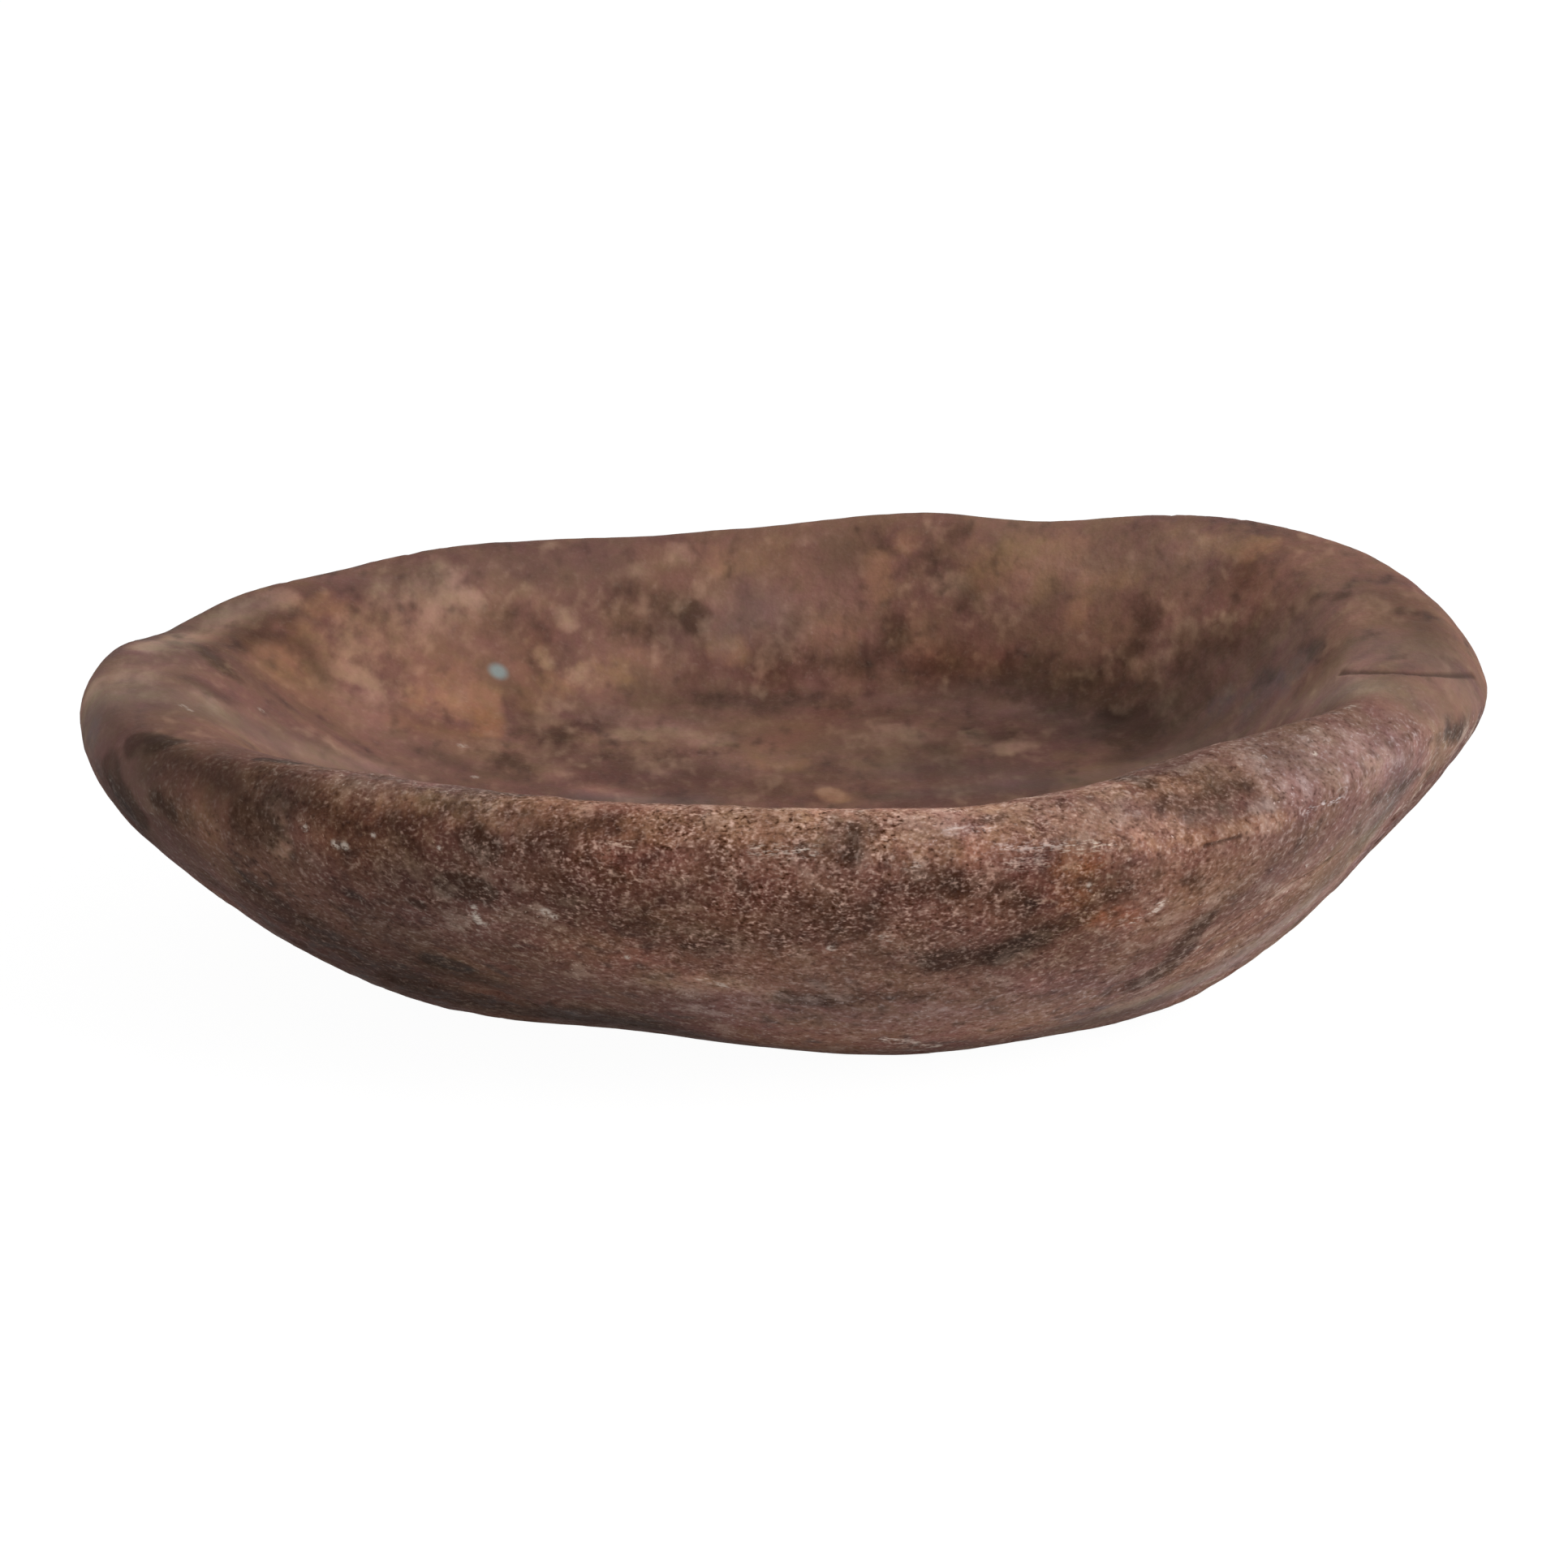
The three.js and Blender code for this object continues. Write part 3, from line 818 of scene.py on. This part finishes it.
# %% Shades of the rim and the hollow, in the middle
INSIDE_MIDDLE = {
    # Painted shade darkens the middle of the floor and the foot of the back wall; a painted sheen lightens
    # the front lip's inner edge.
    "far rim, middle": ((930, 672), (1060, 668), 6, -0.12),
    "far wall": ((700, 790), (900, 760), (1050, 770), 14, 0.2),
    "middle of the floor": ((960, 905), (1200, 910), 12, -0.22),
    "left of the floor": ((720, 920), (850, 930), 8, 0.12),
    "front lip, inner edge": ((500, 972), (640, 985), (800, 994), (1000, 999), 2.4, 0.35),
    "far wall, under the patches": ((815, 770), (826, 772), 3, -0.38),
    "far wall, streak": ((975, 772), (945, 810), 2.6, -0.42),
    "far wall, beside the streak": ((992, 814), (975, 846), (948, 862), 3, 0.42),
    "far wall, high middle": ((1045, 685), (1045, 706), 4, -0.22),
    "far wall, high right": ((1122, 698), (1130, 702), 3, 0.3),
    "far wall, between": ((932, 766), (938, 770), 2.5, 0.3),
    "back wall, left of the patches": ((724, 718), (734, 722), 3, 0.32),
    "back wall, low": ((740, 800), (752, 800), 2.5, 0.25),
    "foot of the back wall": ((755, 878), (805, 858), (862, 884), 4, -0.28),
    "middle of the floor, near": ((870, 924), (928, 954), 4, 0.32),
    "right of the floor, near": ((1150, 920), (1174, 938), 3.5, -0.4),
    "back wall, dark patches": ((730, 725), (790, 738), (830, 750), 5, -0.22),
    "near slope, middle": ((730, 975), (790, 985), 4, 0.6),
    "floor, middle, near": ((860, 925), (940, 925), 4, 0.2),
    "floor, back left": ((790, 840), (880, 862), 4, -0.2),
}
print("shades inside, in the middle:", len(INSIDE_MIDDLE))

# %% Shades of the rim and the hollow, on the right
INSIDE_RIGHT = {
    # Painted light: the hollow shade brightens the inner right wall, which faces away from the lamp. Painted
    # shade: the darkest spot and the near edge of the hollow. Painted sheen: the front lip's inner edge.
    "hollow": ((1450, 780), (1590, 820), 16, 0.72),
    "hollow, low": ((1460, 870), (1560, 850), 9, 0.2),
    "far wall, right": ((1200, 780), (1340, 740), 14, 0.25),
    "far rim, right": ((1300, 690), (1450, 690), (1560, 710), 9, 0.18),
    "right of the floor": ((1340, 900), (1400, 900), 10, -0.3),
    "end, back": ((1660, 730), (1720, 765), 5, -0.1),
    "front lip, inner edge, right": ((1000, 999), (1200, 993), (1370, 966), 3, 0.75),
    "lip, inner slope": ((1560, 890), (1620, 864), (1655, 830), 5.5, 0.85),
    "hollow, light spot": ((1470, 848), (1492, 845), 4.5, 0.75),
    "wall, high": ((1480, 738), (1590, 742), 6, 0.45),
    "wall, end": ((1622, 780), (1634, 776), 4, 0.28),
    "foot of the wall": ((1245, 812), (1310, 830), 3, 0.32),
    "floor, right part": ((1250, 872), (1330, 872), 3.5, 0.22),
    "darkest spot": ((1366, 878), (1386, 880), 2.6, -0.4),
    "beside the darkest spot": ((1422, 868), (1438, 866), 3, -0.45),
    "near edge of the hollow": ((1380, 934), (1450, 902), (1510, 884), 4, -0.35),
    "wall, low blotch": ((1335, 832), (1368, 814), 2.6, -0.32),
    "wall, middle blotch": ((1464, 772), (1478, 780), 2.6, -0.3),
    "back wall, blotch": ((1275, 746), (1295, 734), 3, -0.3),
    "back wall, hook": ((1396, 744), (1406, 762), 3, -0.35),
    "back wall, high blotch": ((1190, 708), (1215, 722), 3, -0.25),
    "foot of the back wall, right": ((1162, 822), (1220, 818), 3, -0.3),
    "lip, inner slope, end": ((1620, 880), (1650, 850), (1655, 815), 5, 0.5),
    "wall, streaks": ((1400, 798), (1436, 784), (1468, 768), 3, -0.3),
    "end, top": ((1625, 722), (1740, 735), (1770, 780), 6, -0.2),
    "near slope, right": ((1130, 965), (1230, 962), 5, 0.35),
    "near slope, far right": ((1420, 940), (1500, 922), 3.5, 0.25),
    "far wall, foot": ((1195, 868), (1255, 866), 5, 0.35),
    "wall, top": ((1500, 745), (1560, 720), (1630, 760), 8, 0.28),
    "hollow, near": ((1372, 905), (1388, 912), 3, 0.35),
}
print("shades inside, on the right:", len(INSIDE_RIGHT))
shade("shade", OUTSIDE_LEFT, OUTSIDE_FRONT, OUTSIDE_RIGHT, INSIDE_LEFT, INSIDE_MIDDLE, INSIDE_RIGHT)

# %% Greyed stretches
# Greying is partly dust and partly painted sheen on the lips and ends. Along the right flank, the low right
# edge and the foot edge it is a painted reflection of the pale floor.
GREYED_OUTSIDE = {
    "right end": ((1700, 800), (1790, 830), 14, 0.9),
    "right lip, inner side": ((1640, 865), (1740, 860), 7, 0.6),
    "right flank": ((1520, 1105), (1650, 1040), (1770, 930), 8, 0.7),
    "low right edge": ((1330, 1258), (1440, 1225), (1560, 1160), (1700, 1010), 8, 1),
    "left flank": ((110, 890), (130, 930), (170, 960), 7, 0.8),
    "left flank, edge": ((146, 988), (170, 1018), 6, -0.4),
    "left underside": ((300, 1112), (430, 1180), (600, 1232), 8, -0.4),
    "left flank, low": ((200, 1040), (270, 1082), 7, 0.7),
    "front": ((700, 1075), (840, 1085), (1020, 1125), (1240, 1085), 8, -0.6),
    "front, low": ((760, 1170), (860, 1190), (930, 1160), 8, -0.5),
    "front, cloud": ((1210, 1175), (1330, 1125), (1400, 1110), 4, -0.45),
    "front lip": ((780, 1020), (860, 1030), (930, 1030), 5, -0.5),
    "oval on the left": ((295, 1010), (310, 1022), 3.5, -1),
    "front right": ((1230, 1085), (1330, 1085), 6, -0.6),
    "right front": ((1480, 1060), (1500, 1120), 7, -0.7),
    "right lip, dark band": ((1430, 985), (1540, 965), 4, -0.6),
    "right lip, end": ((1580, 930), (1720, 930), 9, 0.5),
    "front left lip": ((420, 985), (540, 1000), (760, 1010), 6, -0.7),
    "left front": ((430, 1040), (500, 1040), 8, -0.6),
    "left front, low": ((500, 1130), (620, 1140), 8, 0.3),
    "foot edge": ((850, 1240), (1100, 1250), (1350, 1225), 8, 0.4),
}
GREYED_INSIDE = {
    "left end": ((110, 870), (160, 820), (220, 795), 10, 0.8),
    "left hollow, back": ((300, 790), (350, 785), (400, 820), 7, -0.2),
    "left lip": ((200, 860), (330, 910), (460, 950), 9, 0.9),
    "right hollow": ((1480, 850), (1580, 800), 16, 1),
    "hollow": ((750, 850), (900, 840), (1300, 800), 26, 0.2),
    "floor": ((700, 940), (1100, 940), 14, 0.35),
    "far rim": ((1250, 660), (1500, 680), 8, 0.4),
    "near slope of the hollow": ((440, 958), (600, 976), (720, 984), (860, 988), 4, 1.1),
    "near slope, right": ((1100, 980), (1300, 965), (1450, 925), (1560, 885), (1680, 850), 5, 0.8),
    "foot of the far wall": ((880, 865), (1100, 860), (1300, 880), 5, 0.4),
    "near floor, right": ((1120, 950), (1250, 955), 7, 0.6),
    "spots of the far wall": ((1150, 817), (1225, 820), 4, -0.9),
    "streak of the far wall": ((936, 796), (950, 832), 3.5, -0.6),
    "far wall, red patches": ((850, 770), (920, 780), (935, 750), 6, 0.7),
    "foot of the far wall, right": ((1190, 850), (1240, 840), (1310, 880), (1350, 900), 6, 0.6),
    "floor, middle": ((960, 920), (1050, 850), 6, -0.5),
    "left end, back": ((215, 775), (300, 745), 6, 0.8),
    "spot of the far wall": ((846, 764), (866, 772), 4, -0.4),
    "left wall": ((420, 800), (520, 840), 12, -0.2),
    "left rim": ((450, 718), (600, 702), (750, 688), 7, 0.45),
}
shade("greyed", GREYED_OUTSIDE, GREYED_INSIDE)

# %% Yellowed stretches
YELLOWED = {
    "left front": ((420, 1020), (450, 1030), (510, 1040), 7, 0.7),
    "left crest": ((200, 920), (320, 945), 5, 0.5),
    "front": ((560, 1190), (640, 1185), (740, 1120), (860, 1130), 9, 0.5),
    "under the right ridge": ((1340, 1060), (1325, 1110), (1310, 1170), 6, 0.8),
    "left hollow": ((270, 812), (350, 845), (440, 790), 9, 0.5),
    "beside the speck": ((664, 790), (648, 870), 4, 0.75),
    "foot of the left wall": ((500, 892), (575, 905), 3.5, 0.8),
    "far wall": ((1130, 770), (1200, 820), (1340, 820), 9, 0.45),
    "right hollow": ((1540, 700), (1550, 760), (1480, 800), 9, 0.5),
    "right lip": ((1600, 960), (1680, 945), (1730, 925), 9, -0.85),
    # Painted reflection: bluer along the low right edge and the foot edge, with the greying there.
    "low right edge": ((1440, 1232), (1560, 1155), (1680, 1055), 7, -0.9),
    "foot edge": ((920, 1245), (1100, 1250), (1350, 1225), 9, -0.65),
    "floor, left": ((750, 885), (850, 890), 5, -0.6),
    "far wall, high": ((905, 690), (905, 765), (1030, 740), (1020, 670), 6, -0.55),
    "front lip, right": ((1150, 1035), (1300, 1038), (1450, 1010), 4, -0.55),
    "left slope": ((430, 800), (440, 870), (540, 940), 7, -0.45),
    "far wall, right": ((1280, 705), (1340, 715), 5, -0.6),
    "far rim, right": ((1435, 685), (1490, 680), 6, -0.6),
}
shade("yellowed", YELLOWED)

# %% [markdown]
# ## The stone
#
# From far away the stone is brown. Closer, it is a crowd of rosy and dark grains under a millimetre wide,
# which gather in clumps. The material is built in that order: broad clouds, the strokes with ragged edges,
# clumps, and last the grains, which lie over everything because every stain is made of grains too.


# %% Start the stone
stone, tree = new_material("brown_stone")
where = add_node(tree, "ShaderNodeTexCoord").outputs["Object"]


def colour(hex_code):
    """A colour as it would be picked on a screen, turned into the linear light that shaders work with."""
    channels = [int(hex_code[place:place + 2], 16) / 255 for place in (1, 3, 5)]
    linear = [c / 12.92 if c <= 0.04045 else ((c + 0.055) / 1.055) ** 2.4 for c in channels]
    return (*linear, 1)


def painted(name):
    """What is kept on the net under this name."""
    return add_node(tree, "ShaderNodeAttribute", attribute_name=name).outputs["Fac"]


def stretched(scale):
    """The same places, for a pattern that is drawn out along the axes whose scale is under 1."""
    return add_node(tree, "ShaderNodeMapping", {"Vector": where, "Scale": scale}).outputs[0]


def patches(size_mm, detail=2.0, roughness=0.5, distortion=0.0, places=where):
    """Soft random patches of about this size, from 0 to 1."""
    inputs = {"Vector": places, "Scale": 1 / (size_mm * MM), "Detail": detail}
    inputs.update({"Roughness": roughness, "Distortion": distortion})
    return add_node(tree, "ShaderNodeTexNoise", inputs).outputs[0]


# %% Helpers that reckon with shares and colours
def plus(first, second):
    return maths(tree, "ADD", first, second)


def times(first, second):
    return maths(tree, "MULTIPLY", first, second)


def around_zero(pattern, width):
    """A pattern from 0 to 1, moved so that it lies evenly round 0, over this width."""
    return times(maths(tree, "SUBTRACT", pattern, 0.5), width)


def ramp(value, start, end, to_start=0.0, to_end=1.0):
    """A smooth step: to_start where the value is at start or below, to_end where it is at end or above."""
    inputs = {"Value": value, "From Min": start, "From Max": end, "To Min": to_start, "To Max": to_end}
    return add_node(tree, "ShaderNodeMapRange", inputs, interpolation_type="SMOOTHSTEP").outputs[0]


def blended(share, first, second):
    return add_node(tree, "ShaderNodeMix", {0: share, 2: first, 3: second}, data_type="FLOAT").outputs[0]


def mix(share, below, above, how="MIX"):
    """Lays one colour over another. The share says how much of the upper one shows."""
    inputs = {0: share, 6: below, 7: above}
    return add_node(tree, "ShaderNodeMix", inputs, data_type="RGBA", blend_type=how).outputs[2]


# %% Tell rubbed stone from rough stone
# Grinding stones were drawn to and fro in the hollow, so the patterns of the rubbed stone are stretched
# that way.
ALONG_THE_RUBBING = (1, 0.45, 1)
rubbed_where = stretched(ALONG_THE_RUBBING)
uneven = around_zero(patches(9, detail=4), 0.9)
rubbed_smooth = ramp(plus(painted("rubbed"), uneven), 0.1, 0.9)
print("nodes so far:", len(tree.nodes))

# %% Lay the stains and the painted light and shade on the brown
rough_edges = patches(6, detail=6, roughness=0.75)
soft_edges = patches(7, detail=4, roughness=0.6, places=rubbed_where)
ragged_height = around_zero(blended(rubbed_smooth, rough_edges, soft_edges), 2.0)


def stroke_share(name, most, most_where_rubbed):
    """Where a stroke shows: its strength, worn away in patches. Away from the stroke there is none."""
    strength = painted(name)
    wear = times(ragged_height, ramp(strength, 0.0, 0.3))
    shown = ramp(plus(strength, wear), 0.1, 0.95)
    return times(shown, ramp(rubbed_smooth, 0, 1, most, most_where_rubbed))


# From the lowest stroke to the uppermost: the most that shows on rough and on rubbed stone, and its colour.
# Umber and dark also paint shade, and tan paints light along the lower right edge.
STAINS_AND_PAINTED_LIGHT = {
    "umber": (0.7, 0.7, "#57352c"),
    "ochre": (0.6, 0.55, "#a07355"),
    "rust": (0.7, 0.4, "#8b5438"),
    "tan": (0.75, 0.6, "#a8826c"),
    "slate": (0.75, 0.5, "#625654"),
    "dark": (0.82, 0.65, "#3c271c"),
}
OLIVE = (0.95, 1.02, 0.93, 1)
MAUVE = (1.04, 0.98, 1.06, 1)

cloud = patches(30, detail=4, roughness=0.55, distortion=0.4)
body = mix(ramp(cloud, 0.36, 0.64), colour("#6b483f"), colour("#825c4b"))
for name, (most, most_where_rubbed, stain_and_light_colour) in STAINS_AND_PAINTED_LIGHT.items():
    body = mix(stroke_share(name, most, most_where_rubbed), body, colour(stain_and_light_colour))
hue = ramp(patches(7, detail=4, roughness=0.7), 0.3, 0.7)
body = mix(1.0, body, mix(hue, OLIVE, MAUVE), how="MULTIPLY")
print("stains:", list(STAINS_AND_PAINTED_LIGHT))

# %% Clumps and grains
LOWEST, MIDDLE, HIGHEST = 0.2, 0.5, 0.8
UNDER_DUST_AND_SHEEN = 0.6

# Greyed stone is partly dusty and partly given a painted sheen.
dust_and_sheen = ramp(painted("greyed"), 0.2, 0.9)


def clear_share(where_rubbed):
    """How clearly grains show: fully on rough stone, this much on rubbed stone, and less under dust and
    painted sheen.
    """
    worn = ramp(rubbed_smooth, 0, 1, 1, where_rubbed)
    return times(worn, ramp(dust_and_sheen, 0, 1, 1, UNDER_DUST_AND_SHEEN))


def lay_grains(under, pattern, share, light, dark, dark_from=MIDDLE):
    """Light grains where the pattern is high, dark ones where it is low. Each: its most, its colour."""
    light_share = times(ramp(pattern, MIDDLE, HIGHEST, 0, light[0]), share)
    dark_share = times(ramp(pattern, dark_from, LOWEST, 0, dark[0]), share)
    return mix(dark_share, mix(light_share, under, light[1]), dark[1])


rough_mottle = patches(9, detail=2, roughness=1.0)
soft_mottle = patches(8, detail=2.5, roughness=0.9, places=rubbed_where)
mottle = blended(rubbed_smooth, rough_mottle, soft_mottle)
mottle_colour = mix(rubbed_smooth, colour("#d2b3a1"), colour("#c79c81"))
body = lay_grains(body, mottle, clear_share(0.82), (0.42, mottle_colour), (0.8, colour("#1c0e0a")))

PALE_ROSE = colour("#d2b6a8")
grain = patches(1.2, detail=1.5, roughness=1.0)
grain_share = clear_share(0.1)
body = lay_grains(body, grain, grain_share, (0.42, PALE_ROSE), (0.76, colour("#34160a")))

specks = patches(0.9, detail=2, roughness=0.7)
gathered = ramp(mottle, 0.48, 0.6, 0.1, 1)
speck_share = times(ramp(specks, 0.62, 0.72, 0, 0.6), gathered)
body = mix(times(speck_share, grain_share), body, PALE_ROSE)
print("nodes so far:", len(tree.nodes))

# %% Crust and crack
# The crust lies in short level dashes, as the bowl was turned while its rim was ground.
LEVEL_DASHES = (0.25, 0.25, 1)
MOST_CRUST = 0.9
CRACK_SHADE = 0.65

dashes = ramp(patches(0.55, detail=2, roughness=0.9, places=stretched(LEVEL_DASHES)), 0.47, 0.62)
body = mix(times(stroke_share("pale", MOST_CRUST, MOST_CRUST), dashes), body, colour("#d6c2b5"))
body = mix(times(painted("crack"), CRACK_SHADE), body, colour("#33211a"))
print("nodes so far:", len(tree.nodes))

# %% Lay the painted light and shade, and the tints, over the stone
# How much the red, green and blue change where the stone is fully greyed or yellowed.
CHANGES = {"greyed": (-0.16, 0.02, 0.1), "yellowed": (0.0, 0.0, -0.2)}
WHOLE_STONE = (1.02, 1.06, 1.07)


def vector_maths(operation, inputs):
    return add_node(tree, "ShaderNodeVectorMath", inputs, operation=operation).outputs[0]


tint = WHOLE_STONE
for name, change in CHANGES.items():
    tint = vector_maths("ADD", {0: vector_maths("SCALE", {0: change, 3: painted(name)}), 1: tint})
body = vector_maths("MULTIPLY", {0: body, 1: tint})
# The shade attribute scales the colour: painted light and shade, with some of the stone's own tone.
body = vector_maths("SCALE", {0: body, 3: plus(painted("shade"), 1.0)})
print("tints:", list(CHANGES))

# %% Grit on the front wall
# Grains of dust, lighter and greyer than the stone, and grains of bare stone, darker and redder.
GRIT_DASHES = (0.7, 1, 1)
DARK_GRIT_FROM = 0.52

grit = patches(0.65, detail=1, roughness=0.8, places=stretched(GRIT_DASHES))
grit_gathers = ramp(patches(5, detail=3, roughness=0.7), 0.38, 0.62, 0.5, 1.6)
gritty_here = times(painted("gritty"), grit_gathers)
light_grit, dark_grit = (0.5, colour("#f0c8b6")), (0.85, colour("#3c1c06"))
body = lay_grains(body, grit, gritty_here, light_grit, dark_grit, DARK_GRIT_FROM)
print("nodes so far:", len(tree.nodes))

# %% [markdown]
# ## Single grains
#
# A few pale grains stand out one by one, and one speck on the left wall is a pale sea green. Each covers only
# a few meshes of the net, too few to hold its edge. So the material itself measures how far each place of the
# stone is from the grain, and the grit makes the grain's edge ragged.

# %% Pale grains
# Each grain: a pixel of the photograph, and its radius in millimetres.
PALE_GRAINS = {
    "scratch on the left front, top": ((582, 1118), 0.4),
    "scratch on the left front, middle": ((585, 1126), 0.55),
    "scratch on the left front, foot": ((590, 1134), 0.65),
    "left front, large": ((672, 1124), 1),
    "left front, beside it": ((682, 1130), 0.8),
    "second grains, left": ((414, 1040), 0.9),
    "second grains, right": ((425, 1042), 0.8),
    "first grains": ((376, 1020), 0.65),
    "left of the first grains": ((460, 1029), 0.5),
    "under the second grains": ((541, 1045), 0.45),
    "front crest": ((483, 955), 0.6),
    "left crest": ((226, 869), 0.9),
    "left crest, beside it": ((234, 874), 0.8),
    "left slope": ((322, 875), 0.8),
    "chip on the right lip": ((1666, 869), 0.8),
    "chip on the right lip, tail": ((1660, 871), 0.7),
    "right lip": ((1620, 928), 0.6),
    "right lip, low": ((1476, 1167), 0.8),
    "right, low, tail": ((1481, 1168), 0.35),
    "under the right ridge": ((1341, 1089), 0.55),
    "under the right ridge, tail": ((1343, 1096), 0.4),
    "foot": ((1130, 1295), 0.8),
    "middle": ((1024, 1169), 0.8),
    "left of the middle": ((888, 1213), 0.9),
    "low left of the middle": ((773, 1180), 0.6),
    "floor": ((570, 920), 1.1),
    "floor, low": ((585, 957), 0.9),
}
GRAIN_CORE, GRAIN_FADES_BY = 0.5, 1.4
GRAIN_RAGGED = 1.1 * MM


def distance_from(pixel):
    """How far each place is from the one that the photograph shows at this pixel."""
    inputs = {0: where, 1: on_stone(pixel)}
    return add_node(tree, "ShaderNodeVectorMath", inputs, operation="DISTANCE").outputs["Value"]


ragged_grain = around_zero(grit, GRAIN_RAGGED)
pale = None
for pixel, radius_mm in PALE_GRAINS.values():
    away = plus(distance_from(pixel), ragged_grain)
    one = ramp(away, GRAIN_CORE * radius_mm * MM, GRAIN_FADES_BY * radius_mm * MM, 1, 0)
    pale = one if pale is None else maths(tree, "MAXIMUM", pale, one)
pale = times(pale, ramp(grit, 0.42, 0.56, 0.1, 1))
pale = times(pale, ramp(rubbed_smooth, 0, 1, 0.8, 0.35))
body = mix(pale, body, colour("#cfbfb2"))
print("pale grains:", len(PALE_GRAINS))

# %% The green speck
SPECK_PIXEL = (614, 827)
SPECK_RADIUS = 1.9 * MM
SPECK_CORE, SPECK_FADES_BY = 0.35, 1.4
MOST_GREEN = 0.72

away = distance_from(SPECK_PIXEL)
speck = ramp(away, SPECK_CORE * SPECK_RADIUS, SPECK_FADES_BY * SPECK_RADIUS, MOST_GREEN, 0)
body = mix(speck, body, colour("#8c9d9d"))
print("speck at", [round(value / MM, 1) for value in on_stone(SPECK_PIXEL)], "mm")

# %% [markdown]
# ## The finish
#
# The stone is dry and dull, with the same faint shine all over. Its grain is too fine to carve, so a bump
# map tilts the light on it: clumps stand a little higher, and are rougher than what lies between them.

# %% Roughness, fine relief and shine
CLUMP_SHARE = 3.0
BUMP_HEIGHT = 0.12 * MM
LEAST_ROUGH, MOST_ROUGH = 0.75, 0.95
FAINT_SHINE = 0.12

bump_height = plus(times(mottle, CLUMP_SHARE), grain)
bump = add_node(tree, "ShaderNodeBump", {"Height": bump_height, "Distance": BUMP_HEIGHT, "Strength": 1.0})
looks = {
    "Base Color": body,
    "Roughness": ramp(mottle, 0.35, 0.65, LEAST_ROUGH, MOST_ROUGH),
    "Specular IOR Level": FAINT_SHINE,
    "Normal": bump.outputs[0],
}
shader = add_node(tree, "ShaderNodeBsdfPrincipled", looks)
add_node(tree, "ShaderNodeOutputMaterial", {"Surface": shader.outputs[0]})
skin.materials.clear()
skin.materials.append(stone)
print("nodes in the stone:", len(tree.nodes))
